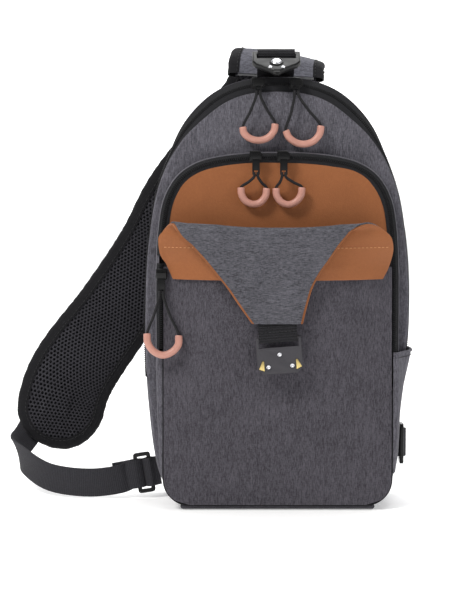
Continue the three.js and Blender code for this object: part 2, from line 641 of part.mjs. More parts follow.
add("strap_foam", layer(padStrip, 0, coreEnd, coreEdge, [1.8, 5.6], 34), foam);
add("strap_mesh", layer(padStrip, 0, coreEnd, coreEdge, [6, 8.4], 34), meshBlack);

// The binding goes down one edge of the pad, round its end and up the other edge.
const bendSteps = 12;
const sideSteps = 30;
// Its section at a place on the pad's line; sideways and endways are the way out to the edge there.
function bindingRing(u, sideways, endways) {
  const at = (reach, t) => {
    const radius = (STRAP.end - reach) / padStrip.length;
    return padStrip.point(Math.min(1, u + endways * radius), sideways * (strapHalf(u) - reach), t);
  };
  return [at(0, 0.4), at(0, STRAP.thickness - 0.4), at(STRAP.binding, STRAP.thickness + 0.6),
    at(STRAP.binding, -0.6)];
}
const bindingRings = [
  ...Array.from({ length: sideSteps }, (_, k) => [lerp(0, 1 - endShare, k / sideSteps), -1, 0]),
  ...Array.from({ length: bendSteps + 1 }, (_, k) => {
    const angle = (Math.PI * k) / bendSteps;
    return [1 - endShare, -Math.cos(angle), Math.sin(angle)];
  }),
  ...Array.from({ length: sideSteps }, (_, k) => [lerp(1 - endShare, 0, (k + 1) / sideSteps), 1, 0]),
].map(([u, sideways, endways]) => bindingRing(u, sideways, endways));
add("strap_binding", sweep(bindingRings), blackTape);

// Sewn end of the strap: lies on the back panel's top, below the swinging part.
add("strap_yoke", sweep([
  [56, 318], [54, 340], [43, 362],
].map(([half, z]) => [
  V(-half, BACK_Y + GAP, z), V(half, BACK_Y + GAP, z), V(half, BACK_Y + 6, z), V(-half, BACK_Y + 6, z),
])), meshBlack);

const webStrip = laidStrip([
  { at: [-203, 105.6, 104], width: [0.95, 0, -0.3] },
  { at: [-217, 103, 66], width: [0.9, 0, -0.43] },
  { at: [-229, 101, 42], width: [0.75, -0.25, -0.6] },
  { at: [-237, 80, 31], width: [0.35, -0.3, -0.88] },
  { at: [-226, 46, 25], width: [0.05, -0.1, -0.99] },
  { at: [-200, 17, 16], width: [0, 0, -1] },
  { at: [-163, 5, 13.6], width: [0, 0, -1] },
  { at: [-136, 5.4, 17], width: [0.12, 0, -0.99] },
  { at: [-130, 8.2, 19], width: [0.17, 0, -0.98] },
]);
const strapRun = layer(webStrip, 0, 1, () => STRAP_WEB / 2, [-0.7, 0.7], 40, 2);

// ---------------------------------------------------------------- rings at the lower corners
const RING = { width: 15.2, height: 36, wire: 3.4 };
// A rectangular ring in the plane x, z with its inner bar at x = 0 and its outer bar toward -X.
function ringGeometry() {
  const w = RING.width;
  const h = RING.height / 2;
  const r = 3;
  const frame = (inset) => {
    const c = Math.max(0.8, r - inset);
    return new THREE.Shape()
      .moveTo(-w + inset + c, -h + inset).lineTo(-inset - c, -h + inset)
      .quadraticCurveTo(-inset, -h + inset, -inset, -h + inset + c).lineTo(-inset, h - inset - c)
      .quadraticCurveTo(-inset, h - inset, -inset - c, h - inset).lineTo(-w + inset + c, h - inset)
      .quadraticCurveTo(-w + inset, h - inset, -w + inset, h - inset - c)
      .lineTo(-w + inset, -h + inset + c)
      .quadraticCurveTo(-w + inset, -h + inset, -w + inset + c, -h + inset);
  };
  const outer = frame(0);
  outer.holes.push(frame(RING.wire));
  return plate(outer, RING.wire, 4, 0.5).translate(RING.wire / 2, RING.wire / 2, 0);
}
const LEFT_RING = { x: -110.6, y: 10, z: 23, lean: THREE.MathUtils.degToRad(-9) };
const RIGHT_RING = { x: 111.4, y: 31, z: 46 };
add("ring_left", ringGeometry().rotateY(LEFT_RING.lean)
  .translate(LEFT_RING.x, LEFT_RING.y, LEFT_RING.z), hardBlack);
add("ring_right", ringGeometry().rotateZ(Math.PI / 2)
  .translate(RIGHT_RING.x, RIGHT_RING.y, RIGHT_RING.z), hardBlack);

// A tab round a ring's bar: it goes out over the bar and comes back, its width upright.
function tabLoop(reach, barClear, width) {
  const line = new THREE.CatmullRomCurve3([
    V(reach, -1, 0), V(reach / 2, -2.2, 0), V(0, -barClear, 0), V(-barClear, 0, 0),
    V(0, barClear, 0), V(reach / 2, 2.2, 0), V(reach, 1, 0),
  ], false, "centripetal");
  const steps = 18;
  return sweep(line.getSpacedPoints(steps).map((p, k) => {
    const along = line.getTangentAt(k / steps);
    const out = V(-along.y, along.x, 0).multiplyScalar(0.6);
    return [
      V(p.x - out.x, p.y - out.y, -width / 2), V(p.x + out.x, p.y + out.y, -width / 2),
      V(p.x + out.x, p.y + out.y, width / 2), V(p.x - out.x, p.y - out.y, width / 2),
    ];
  }));
}
const barClear = RING.wire / 2 + 0.6 + 2.6;
add("ring_tab_left", tabLoop(7, barClear, STRAP_WEB).rotateY(LEFT_RING.lean)
  .translate(LEFT_RING.x, LEFT_RING.y, LEFT_RING.z), webbing);
add("ring_tab_right", tabLoop(9, barClear, STRAP_WEB).rotateZ(Math.PI / 2)
  .translate(RIGHT_RING.x, RIGHT_RING.y, RIGHT_RING.z), webbing);
// The strap's webbing goes round the outer bar of the left ring and is sewn back on itself.
const strapLoop = tabLoop(13, barClear, STRAP_WEB).rotateZ(Math.PI).rotateY(LEFT_RING.lean)
  .translate(LEFT_RING.x - RING.width + RING.wire, LEFT_RING.y, LEFT_RING.z);
add("strap_webbing", skin(solid(strapRun).add(solid(strapLoop))), webbing);

// ---------------------------------------------------------------- right side pocket and inner sleeve
const SIDE_POCKET = { top: 134, bottom: 22, seam: 3, back: 18, depth: 3.6, clear: 1.2, corner: -19 };
// A side's half width at a height, read from the rows of its outline.
function sideAt(profile, z) {
  const rows = profile.filter(([, h]) => h <= 170);
  const k = Math.max(0, rows.findIndex(([, h]) => h > z) - 1);
  const [[w0, z0], [w1, z1]] = [rows[k], rows[k + 1]];
  return lerp(w0, w1, (z - z0) / (z1 - z0));
}
// The cloth runs from the front compartment's seam back over the step to the body's side.
function sidePocket(heights, thickness) {
  const columns = 16;
  return sweep(heights.map((z) => {
    const line = Array.from({ length: columns + 1 }, (_, k) => k / columns);
    const front = archFrontY(z) + SIDE_POCKET.seam;
    const open = lerp(0.35, 1, (z - SIDE_POCKET.bottom) / (SIDE_POCKET.top - SIDE_POCKET.bottom));
    const at = (share, extra) => {
      const y = lerp(front, SIDE_POCKET.back, share);
      const step = Math.min(1, (y - front) / (SIDE_POCKET.corner - front));
      const side = lerp(sideAt(ARCH_PROFILE, z), sideAt(RIGHT_PROFILE, z), step);
      const reach = SIDE_POCKET.depth * open * Math.pow(Math.sin(Math.PI * share), 0.7);
      return V(side + SIDE_POCKET.clear + reach + extra, y, z);
    };
    return [...line.map((s) => at(s, 0)), ...line.reverse().map((s) => at(s, thickness))];
  }));
}
const pocketRows = [SIDE_POCKET.bottom, 34, 48, 66, 84, 102, 118, SIDE_POCKET.top];
add("side_pocket", sidePocket(pocketRows, 1.4), heather);

const SLEEVE = { top: 262, y: 27 };
add("tablet_sleeve", plate(new THREE.Shape([
  new THREE.Vector2(-88, 12), new THREE.Vector2(88, 12), new THREE.Vector2(94, 20),
  new THREE.Vector2(94, SLEEVE.top - 8), new THREE.Vector2(88, SLEEVE.top),
  new THREE.Vector2(-88, SLEEVE.top), new THREE.Vector2(-94, SLEEVE.top - 8),
  new THREE.Vector2(-94, 20),
]), 3).translate(0, SLEEVE.y, 0), foam);

export default bag;
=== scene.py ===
"""A one-strap sling bag with a folding stash flap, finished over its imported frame."""

import logging
import math
from collections.abc import Callable, Iterable, Sequence
from dataclasses import dataclass
from enum import Enum

import bmesh
import bpy
from mathutils import Matrix, Vector, noise


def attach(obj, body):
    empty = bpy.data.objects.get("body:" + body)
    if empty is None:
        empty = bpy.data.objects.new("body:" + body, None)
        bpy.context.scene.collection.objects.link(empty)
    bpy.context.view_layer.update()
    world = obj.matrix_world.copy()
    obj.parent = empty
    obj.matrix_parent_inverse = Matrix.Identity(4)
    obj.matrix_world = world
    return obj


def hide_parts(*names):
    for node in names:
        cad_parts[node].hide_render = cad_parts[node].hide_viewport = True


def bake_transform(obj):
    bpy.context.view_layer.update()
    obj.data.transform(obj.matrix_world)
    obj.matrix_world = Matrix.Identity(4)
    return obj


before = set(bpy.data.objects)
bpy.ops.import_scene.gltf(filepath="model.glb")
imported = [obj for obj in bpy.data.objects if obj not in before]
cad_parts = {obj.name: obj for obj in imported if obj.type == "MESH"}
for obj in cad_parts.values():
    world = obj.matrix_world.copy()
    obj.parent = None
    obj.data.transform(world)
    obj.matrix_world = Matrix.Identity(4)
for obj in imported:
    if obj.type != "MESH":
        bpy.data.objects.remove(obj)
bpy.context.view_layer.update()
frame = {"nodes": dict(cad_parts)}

LOG = logging.getLogger("sling_bag")
MM = 0.001
Number = float | int
Pair = tuple[float, float]
Piece = bpy.types.Object
Facing = Callable[[Vector], Vector]
Place = tuple[float, float, float]
UV_NAME = "cloth"


# ---- shader maths
@dataclass
class Signal:
    """One output of a shader node, or a plain number, that Python operators can work on."""

    tree: "Shader"
    value: object

    def _math(self, operation: str, *others: object) -> "Signal":
        """Adds a Math node over this value and the others."""
        return self.tree.node("ShaderNodeMath", {"operation": operation}, [self, *others])

    def __add__(self, other: object) -> "Signal":
        """This plus other."""
        return self._math("ADD", other)

    __radd__ = __add__

    def __sub__(self, other: object) -> "Signal":
        """This minus other."""
        return self._math("SUBTRACT", other)

    def __rsub__(self, other: object) -> "Signal":
        """Other minus this."""
        return self.tree.node("ShaderNodeMath", {"operation": "SUBTRACT"}, [other, self])

    def __mul__(self, other: object) -> "Signal":
        """This times other."""
        return self._math("MULTIPLY", other)

    __rmul__ = __mul__

    def sine(self) -> "Signal":
        """The sine of this, from 0 to 1 instead of -1 to 1."""
        return self._math("SINE") * 0.5 + 0.5

    def ramp(self, low: float, high: float) -> "Signal":
        """A smooth step from 0 at low to 1 at high."""
        settings = {"interpolation_type": "SMOOTHSTEP"}
        return self.tree.node("ShaderNodeMapRange", settings, [self, low, high, 0.0, 1.0])

    def mix(self, dark: Sequence[float], light: Sequence[float]) -> "Signal":
        """A colour between dark, where this is 0, and light, where it is 1."""
        return self.tree.blend(self, dark, light)


class Shader:
    """A material's node tree, with short ways to add to it."""

    def __init__(self, name: str) -> None:
        """Starts a material of that name with an empty tree and its shader."""
        self.material = bpy.data.materials.new(name)
        self.material.use_nodes = True
        self.nodes = self.material.node_tree.nodes
        self.links = self.material.node_tree.links
        self.nodes.clear()
        self.surface = self.nodes.new("ShaderNodeBsdfPrincipled")
        output = self.nodes.new("ShaderNodeOutputMaterial")
        self.links.new(self.surface.outputs[0], output.inputs[0])

    def node(self, kind: str, settings: dict[str, object], inputs: object, output: object = 0) -> Signal:
        """Adds any node.

        Args:
            kind: the node's type.
            settings: its own settings, set before its sockets.
            inputs: values or signals for its sockets, in order or by name.
            output: the output that the signal stands for.

        Returns:
            The signal of that output.
        """
        made = self.nodes.new(kind)
        for name, value in settings.items():
            setattr(made, name, value)
        pairs = inputs.items() if isinstance(inputs, dict) else enumerate(inputs)
        for socket, value in pairs:
            self.feed(made.inputs[socket], value)
        return Signal(self, made.outputs[output])

    def feed(self, socket: object, value: object) -> None:
        """Links a signal to a socket, or sets a plain value on it.

        Args:
            socket: the input that is fed.
            value: a Signal, an output socket, a colour or a number.
        """
        if isinstance(value, Signal):
            value = value.value
        if isinstance(value, bpy.types.NodeSocket):
            self.links.new(value, socket)
        elif isinstance(value, (tuple, list)) and len(value) == 3 and socket.type == "RGBA":
            socket.default_value = (*value, 1.0)
        else:
            socket.default_value = value

    def blend(self, share: object, first: object, second: object) -> Signal:
        """A Mix node over two colours."""
        made = self.nodes.new("ShaderNodeMix")
        made.data_type = "RGBA"
        self.feed(made.inputs["Factor"], share)
        self.feed(made.inputs[6], first)
        self.feed(made.inputs[7], second)
        return Signal(self, made.outputs[2])

    def place(self, scale: Place = (1, 1, 1)) -> Signal:
        """Object coordinates in metres, times a scale on each axis."""
        return self._scaled(self.node("ShaderNodeTexCoord", {}, {}, "Object"), scale)

    def cloth(self, scale: Place = (1, 1, 1)) -> Signal:
        """The piece's own coordinates along and across it in metres, times a scale."""
        return self._scaled(self.node("ShaderNodeUVMap", {"uv_map": UV_NAME}, {}), scale)

    def _scaled(self, where: Signal, scale: Place) -> Signal:
        """A position times a scale on each axis."""
        return self.node("ShaderNodeVectorMath", {"operation": "MULTIPLY"}, [where, scale])

    def split(self, where: Signal) -> tuple[Signal, Signal, Signal]:
        """The three parts of a position."""
        made = self.nodes.new("ShaderNodeSeparateXYZ")
        self.feed(made.inputs[0], where)
        return tuple(Signal(self, made.outputs[i]) for i in range(3))

    def noise(self, where: Signal, detail: float = 2.0, roughness: float = 0.5) -> Signal:
        """Noise from 0 to 1 with one bump for each unit of the position."""
        values = {"Vector": where, "Scale": 1.0, "Detail": detail, "Roughness": roughness}
        return self.node("ShaderNodeTexNoise", {}, values, "Fac")

    def cells(self, where: Signal, feature: str = "F1") -> Signal:
        """Distance from the middles of scattered cells, one for each unit of the position."""
        return self.node("ShaderNodeTexVoronoi", {"feature": feature}, {"Vector": where, "Scale": 1.0})

    def finish(
        self, colour: object, roughness: object, height: Signal | None = None, depth: float = 0.0,
        **constants: float,
    ) -> bpy.types.Material:
        """Sets the shader's sockets.

        Args:
            colour: the base colour, a value or a signal.
            roughness: the roughness, a value or a signal.
            height: the surface's relief from 0 to 1.
            depth: the relief's depth in metres.
            constants: other sockets, with spaces as underscores, that hold one value all over.

        Returns:
            The finished material.
        """
        self.feed(self.surface.inputs["Base Color"], colour)
        self.feed(self.surface.inputs["Roughness"], roughness)
        for name, value in constants.items():
            self.feed(self.surface.inputs[name.replace("_", " ")], value)
        if height is not None:
            bump = self.node("ShaderNodeBump", {}, {"Strength": 1.0, "Distance": depth, "Height": height})
            self.feed(self.surface.inputs["Normal"], bump)
        return self.material


# ---- finishes
def linear(red: Number, green: Number, blue: Number) -> Place:
    """A screen colour from 0 to 255 as the linear colour that a shader takes."""
    parts = (c / 255 for c in (red, green, blue))
    return tuple(c / 12.92 if c < 0.04045 else ((c + 0.055) / 1.055) ** 2.4 for c in parts)


class Grain(Enum):
    """The way that a cloth's threads run, as how many flecks there are in a metre along x, y and z."""

    UPRIGHT = (1700.0, 1700.0, 270.0)
    LEVEL = (300.0, 900.0, 1800.0)


class Finish:
    """A finish that is built once and shared by every piece that wears it."""

    _made: dict[object, bpy.types.Material] = {}

    def material(self) -> bpy.types.Material:
        """The finish's material."""
        if self not in Finish._made:
            Finish._made[self] = self.build()
        return Finish._made[self]

    def build(self) -> bpy.types.Material:
        """Makes the material."""
        raise NotImplementedError


@dataclass(frozen=True)
class Heather(Finish):
    """Woven melange cloth: charcoal with paler flecked threads."""

    name: str
    dark: Place = linear(48, 47, 52)
    light: Place = linear(110, 108, 116)
    grain: Grain = Grain.UPRIGHT
    slot: str = "heather_fabric"

    def build(self) -> bpy.types.Material:
        """Long flecks over short ones, cross threads, a mottle from the dye and a woven relief."""
        shader = Shader(self.name)
        long, middle, short = self.grain.value
        fine = shader.noise(shader.place((long, middle, short)), 2.0, 0.6)
        cross = shader.noise(shader.place((short * 1.4, middle, long)), 2.0, 0.6)
        wide = shader.noise(shader.place((long * 0.3, middle * 0.3, short * 0.3)), 2.0, 0.5)
        dye = shader.noise(shader.place((24, 24, 24)), 2.0)
        fleck = (fine * 0.56 + cross * 0.24 + wide * 0.2).ramp(0.3, 0.7)
        shade = fleck * 0.86 + dye * 0.3 - 0.08
        x, y, z = shader.split(shader.place((5200, 5200, 4700)))
        weave = (x + y).sine() * z.sine()
        relief = weave * 0.45 + fine * 0.35 + cross * 0.2
        colour = shade.mix(self.dark, self.light)
        return shader.finish(colour, 0.92, relief, 0.00016, Specular_IOR_Level=0.2, Sheen_Weight=0.04)


@dataclass(frozen=True)
class Leather(Finish):
    """Smooth cognac leather with a fine pebble grain."""

    name: str = "tan_leather"
    deep: Place = linear(124, 73, 40)
    bright: Place = linear(157, 97, 57)
    slot: str = "tan_leather"

    def build(self) -> bpy.types.Material:
        """A cloudy colour, a finer mottle and a pebble grain."""
        shader = Shader(self.name)
        cloud = shader.noise(shader.place((38, 38, 38)), 4.0, 0.6)
        grain = shader.cells(shader.place((1100, 1100, 1100)))
        pores = shader.noise(shader.place((2600, 2600, 2600)), 1.0)
        relief = grain * 0.7 + pores * 0.3
        fine = shader.noise(shader.place((420, 420, 420)), 3.0, 0.6)
        colour = (cloud * 0.45 + fine * 0.4 + grain * 0.15).mix(self.deep, self.bright)
        rough = cloud * 0.12 + 0.56
        return shader.finish(colour, rough, relief, 0.00012, Specular_IOR_Level=0.25,
                             Sheen_Weight=0.03)


@dataclass(frozen=True)
class Woven(Finish):
    """Black woven tape: webbing, binding and zip tape, with ribs across its length."""

    name: str
    dark: Place = linear(15, 15, 17)
    light: Place = linear(46, 46, 50)
    rib: float = 1.5
    depth: float = 0.25
    slot: str = "webbing"

    def build(self) -> bpy.types.Material:
        """Ribs across the tape broken by the warp threads along it."""
        shader = Shader(self.name)
        along, across, _ = shader.split(shader.cloth((2 * math.pi / (self.rib * MM),) * 3))
        warp = (across * 1.6).sine()
        ribs = (along + warp * 1.4).sine()
        fuzz = shader.noise(shader.place((900, 900, 900)), 2.0)
        relief = ribs * 0.65 + warp * 0.25 + fuzz * 0.1
        colour = (relief * 0.6 + fuzz * 0.55 - 0.12).mix(self.dark, self.light)
        return shader.finish(colour, 0.84, relief, self.depth * MM, Specular_IOR_Level=0.2,
                             Sheen_Weight=0.03)


@dataclass(frozen=True)
class Spacer(Finish):
    """Black spacer mesh: knitted threads round its holes."""

    name: str = "spacer_mesh"
    slot: str = "spacer_mesh"

    def build(self) -> bpy.types.Material:
        """A fuzzy knit with painted highlights: its colour follows the knit's relief, so the raised threads are
        painted paler and the dips darker.
        """
        shader = Shader(self.name)
        knit = shader.noise(shader.place((1500, 1500, 1500)), 2.0, 0.7)
        cloud = shader.noise(shader.place((30, 30, 30)), 2.0)
        # Partly the knit's own fuzz and tone, partly painted light: paler on the raised threads, darker in the
        # dips between them.
        colour = (knit * 0.8 + cloud * 0.3 - 0.1).mix(linear(24, 23, 26), linear(70, 69, 75))
        return shader.finish(colour, 0.85, knit, 0.0003, Specular_IOR_Level=0.2, Sheen_Weight=0.05)


@dataclass(frozen=True)
class Moulded(Finish):
    """A hard or rubbery moulded finish, with a fine surface and handling marks."""

    name: str
    colour: Place
    roughness: float
    metal: float = 0.0
    mark: float = 0.06
    depth: float = 0.03
    coat: float = 0.0
    slot: str = "black_hardware"
    shine: float = 0.5

    def build(self) -> bpy.types.Material:
        """Faint marks in the gloss and a fine sparkle of texture."""
        shader = Shader(self.name)
        marks = shader.noise(shader.place((160, 160, 160)), 4.0, 0.7)
        fine = shader.noise(shader.place((3200, 3200, 3200)), 1.0)
        paler = tuple(min(1.0, c * 1.25 + 0.004) for c in self.colour)
        colour = marks.mix(self.colour, paler)
        rough = marks * (2 * self.mark) + (self.roughness - self.mark)
        return shader.finish(colour, rough, fine, self.depth * MM, Metallic=self.metal,
                             Coat_Weight=self.coat, Specular_IOR_Level=self.shine)


@dataclass(frozen=True)
class Braid(Finish):
    """Braided cord: strands that cross in a diamond pattern."""

    name: str = "braided_cord"
    slot: str = "webbing"

    def build(self) -> bpy.types.Material:
        """Two sets of slanted strands, read along and round the cord."""
        shader = Shader(self.name)
        along, around, _ = shader.split(shader.cloth((2 * math.pi / 0.0016, 12 * math.pi, 1)))
        strands = (along + around).sine() * (along - around).sine()
        fuzz = shader.noise(shader.place((2000, 2000, 2000)), 1.0)
        colour = (strands * 0.7 + fuzz * 0.4 - 0.1).mix(linear(12, 12, 13), linear(44, 43, 46))
        return shader.finish(colour, 0.7, strands, 0.00018, Specular_IOR_Level=0.3)


class Finishes:
    """Every finish on the bag."""

    body = Heather("heather_body")
    front = Heather("heather_front", linear(38, 36, 41), linear(90, 87, 94))
    lining = Heather("heather_lining", linear(38, 38, 42), linear(104, 103, 110), Grain.LEVEL)
    strap = Heather("heather_strap", linear(50, 50, 56), linear(114, 114, 123), Grain.LEVEL)
    leather = Leather()
    tape = Woven("zip_tape", linear(20, 20, 22), linear(44, 44, 47), 1.1, 0.12, "black_tape")
    chain = Woven("zip_chain", linear(9, 9, 10), linear(34, 34, 36), 1.6, 0.5, "black_tape")
    binding = Woven("edge_binding", linear(10, 10, 11), linear(34, 33, 37), 1.3, 0.25, "black_tape")
    webbing = Woven("webbing", linear(28, 28, 31), linear(62, 61, 66), 1.7, 0.3)
    ribbed = Woven("ribbed_webbing", linear(10, 10, 11), linear(48, 47, 51), 2.2, 0.7)
    base = Heather("base_cloth", linear(44, 43, 47), linear(80, 78, 84), Grain.LEVEL, "black_tape")
    mesh = Spacer()
    cord = Braid()
    gloss = Moulded("black_gloss", linear(7, 7, 8), 0.3, 0.0, 0.05, 0.012, 0.06, "black_hardware", 0.22)
    satin = Moulded("black_satin", linear(46, 44, 49), 0.55, 0.0, 0.06, 0.02, 0.0, "plate_black")
    steel = Moulded("bright_steel", linear(214, 214, 218), 0.25, 1.0, 0.06, 0.01, 0.0, "steel")
    brass = Moulded("pale_brass", linear(206, 184, 122), 0.34, 0.9, 0.06, 0.02, 0.0, "brass")
    grip = Moulded("rose_grip", linear(176, 126, 112), 0.42, 0.0, 0.06, 0.04, 0.0, "rose_grip")
    thread_tan = Moulded("pale_thread", linear(186, 132, 88), 0.7, 0.0, 0.05, 0.05, 0.0, "tan_leather")
    thread_black = Moulded("black_thread", linear(26, 26, 28), 0.7, 0.0, 0.05, 0.05, 0.0, "black_tape")
    foam = Moulded("grey_foam", linear(120, 120, 122), 0.95, 0.0, 0.03, 0.3, 0.0, "foam")


# ---- measures
def lerp(low: float, high: float, share: float) -> float:
    """The value at a share of the way from low to high."""
    return low + (high - low) * share


def smooth(value: float, low: float, high: float) -> float:
    """A smooth step from 0 at low to 1 at high."""
    share = min(1.0, max(0.0, (value - low) / (high - low)))
    return share * share * (3 - 2 * share)


def bump(value: float, middle: float, width: float) -> float:
    """A soft hump of height 1 at the middle, gone a few widths away."""
    return math.exp(-(((value - middle) / width) ** 2))


def ripple(point: Vector, size: float, seed: float = 0.0) -> float:
    """Smooth seeded noise from about -1 to 1, for places in millimetres."""
    return noise.noise(Vector((point.x, point.y, point.z)) / size + Vector((seed, seed * 1.7, 3.1)))


class Curve:
    """A smooth line through knots, read at evenly spaced shares of its length."""

    def __init__(self, knots: Sequence[Sequence[float]], closed: bool = False, fineness: int = 40) -> None:
        """Samples the line through the knots.

        Args:
            knots: the points that the line passes through.
            closed: whether the last knot joins the first.
            fineness: how many samples each span gets.
        """
        points = [Vector(k) for k in knots]
        count = len(points)
        spans = count if closed else count - 1
        self.times: list[float] = []
        self.points: list[Vector] = []
        for k in range(spans):
            start, stop = points[k], points[(k + 1) % count]
            before = points[k - 1] if closed or k else start * 2 - stop
            after = points[(k + 2) % count] if closed or k + 2 < count else stop * 2 - start
            for step in range(fineness):
                share = step / fineness
                self.times.append(k + share)
                self.points.append(self._span(before, start, stop, after, share))
        self.times.append(float(spans))
        self.points.append((points[0] if closed else points[-1]).copy())
        self.lengths = [0.0]
        for a, b in zip(self.points, self.points[1:]):
            self.lengths.append(self.lengths[-1] + (b - a).length)
        self.length = self.lengths[-1]

    @staticmethod
    def _span(before: Vector, start: Vector, stop: Vector, after: Vector, share: float) -> Vector:
        """A point of the centripetal spline between start and stop.

        Args:
            before, start, stop, after: four knots in a row.
            share: the way from start to stop, 0 to 1.

        Returns:
            The point.
        """
        gaps = [max(1e-6, (b - a).length) ** 0.5 for a, b in
                ((before, start), (start, stop), (stop, after))]
        one = (start - before) / gaps[0] - (stop - before) / (gaps[0] + gaps[1]) + (stop - start) / gaps[1]
        two = (stop - start) / gaps[1] - (after - start) / (gaps[1] + gaps[2]) + (after - stop) / gaps[2]
        one, two = one * gaps[1], two * gaps[1]
        t = share
        return (start * (2 * t**3 - 3 * t**2 + 1) + one * (t**3 - 2 * t**2 + t)
                + stop * (3 * t**2 - 2 * t**3) + two * (t**3 - t**2))

    def _locate(self, share: float) -> tuple[int, float]:
        """The sample before a share of the length, and the way from it to the next.

        Args:
            share: a share of the whole length, 0 to 1.

        Returns:
            The sample's number, and how far on to the next sample the point is.
        """
        target = min(1.0, max(0.0, share)) * self.length
        low, high = 0, len(self.lengths) - 1
        while high - low > 1:
            middle = (low + high) // 2
            if self.lengths[middle] <= target:
                low = middle
            else:
                high = middle
        gap = self.lengths[high] - self.lengths[low]
        return low, (target - self.lengths[low]) / gap if gap > 1e-12 else 0.0

    def at(self, share: float) -> Vector:
        """The point at a share of the length."""
        low, part = self._locate(share)
        return self.points[low].lerp(self.points[low + 1], part)

    def time(self, share: float) -> float:
        """The knot, counted from 0, that a share of the length lies at."""
        low, part = self._locate(share)
        return lerp(self.times[low], self.times[low + 1], part)

    def along(self, share: float) -> Vector:
        """The direction of the line at a share of the length."""
        step = 0.6 / max(1.0, self.length)
        return (self.at(share + step) - self.at(share - step)).normalized()

    def spread(self, count: int) -> list[Vector]:
        """Evenly spaced points from the start to the end."""
        return [self.at(k / (count - 1)) for k in range(count)]


# ---- making meshes
@dataclass(frozen=True)
class Wear:
    """What a piece wears and what it moves with."""

    finish: Finish
    body: str = "bag"
    stands_for: tuple[str, ...] = ()
    angle: float = 40.0


def link(name: str, mesh: bpy.types.Mesh) -> Piece:
    """Puts a mesh in the scene as an object at the origin."""
    made = bpy.data.objects.new(name, mesh)
    bpy.context.scene.collection.objects.link(made)
    return made


def choose(thing: Piece) -> None:
    """Makes a piece the only selected one, and the active one."""
    bpy.ops.object.select_all(action="DESELECT")
    bpy.context.view_layer.objects.active = thing
    thing.select_set(True)


def apply(thing: Piece, kind: str, **settings: object) -> None:
    """Adds a modifier to a piece and applies it.

    Args:
        thing: the piece.
        kind: the modifier's type.
        settings: the modifier's own settings.
    """
    choose(thing)
    modifier = thing.modifiers.new(kind.lower(), kind)
    for name, value in settings.items():
        setattr(modifier, name, value)
    bpy.ops.object.modifier_apply(modifier=modifier.name)


def clothe(thing: Piece, finish: Finish, angle: float) -> None:
    """Gives a piece its finish, and smooth shading up to an angle in degrees."""
    thing.data.materials.clear()
    thing.data.materials.append(finish.material())
    choose(thing)
    bpy.ops.object.shade_smooth_by_angle(angle=math.radians(angle))


def dress(thing: Piece, wear: Wear) -> Piece:
    """Gives a piece its finish, its shading, its body and the nodes that it stands for.

    Args:
        thing: the finished mesh.
        wear: what it wears, rides on and stands for.

    Returns:
        The same piece.
    """
    clothe(thing, wear.finish, wear.angle)
    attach(thing, wear.body)
    if wear.stands_for:
        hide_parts(*wear.stands_for)
    return thing


def from_parts(
    name: str, points: Sequence[Vector], faces: Sequence[Sequence[int]],
    places: Sequence[Pair] | None = None,
) -> Piece:
    """Makes a piece from points in millimetres.

    Args:
        name: the piece's name.
        points: its points in millimetres.
        faces: its faces, as rows of point numbers.
        places: for each point, its place along and across the cloth in millimetres.

    Returns:
        The new piece.
    """
    mesh = bpy.data.meshes.new(name)
    mesh.from_pydata([p * MM for p in points], [], faces)
    layer = mesh.uv_layers.new(name=UV_NAME)
    for loop in mesh.loops:
        along, across = places[loop.vertex_index] if places else (0.0, 0.0)
        layer.data[loop.index].uv = (along * MM, across * MM)
    mesh.update()
    return link(name, mesh)


def grid(
    name: str, rows: Sequence[Sequence[Vector]], facing: Facing,
    ring: bool = False, loop: bool = False,
) -> Piece:
    """Makes a sheet of four-sided faces from rows of points.

    Args:
        name: the piece's name.
        rows: rows of equal length, in millimetres.
        facing: for a place, the way that the sheet's face looks there.
        ring: whether each row closes on itself.
        loop: whether the last row joins the first.

    Returns:
        The new piece, one face thick.
    """
    wide = len(rows[0])
    points = [p for row in rows for p in row]
    along = [0.0]
    for a, b in zip(rows, rows[1:]):
        along.append(along[-1] + (b[wide // 2] - a[wide // 2]).length)
    places = []
    for r, row in enumerate(rows):
        across = 0.0
        for c, point in enumerate(row):
            across += (point - row[c - 1]).length if c else 0.0
            places.append((along[r], across))
    faces = []
    for r in range(len(rows) if loop else len(rows) - 1):
        for c in range(wide if ring else wide - 1):
            s, d = (r + 1) % len(rows), (c + 1) % wide
            faces.append((r * wide + c, r * wide + d, s * wide + d, s * wide + c))
    score = 0.0
    for face in faces[:: max(1, len(faces) // 400)]:
        a, b, c = (points[i] for i in face[:3])
        score += (b - a).cross(c - a).dot(facing((a + c) / 2))
    if score < 0:
        faces = [face[::-1] for face in faces]
    return from_parts(name, points, faces, places)


def toward(x: float, y: float, z: float) -> Facing:
    """A facing that is the same all over."""
    way = Vector((x, y, z))
    return lambda _: way


def away_from(x: float, z: float) -> Facing:
    """A facing outwards from a line along the bag's depth."""
    return lambda p: Vector((p.x - x, 0, p.z - z))


def nearest(places: Sequence[Vector], ways: Sequence[Vector]) -> Facing:
    """A facing that has, at any point, the way of the nearest place."""
    return lambda p: ways[min(range(len(places)), key=lambda n: (places[n] - p).length_squared)]


def thicken(thing: Piece, thickness: float) -> None:
    """Gives a sheet a wall behind its face, in millimetres."""
    apply(thing, "SOLIDIFY", thickness=thickness * MM, offset=-1.0, use_even_offset=False)


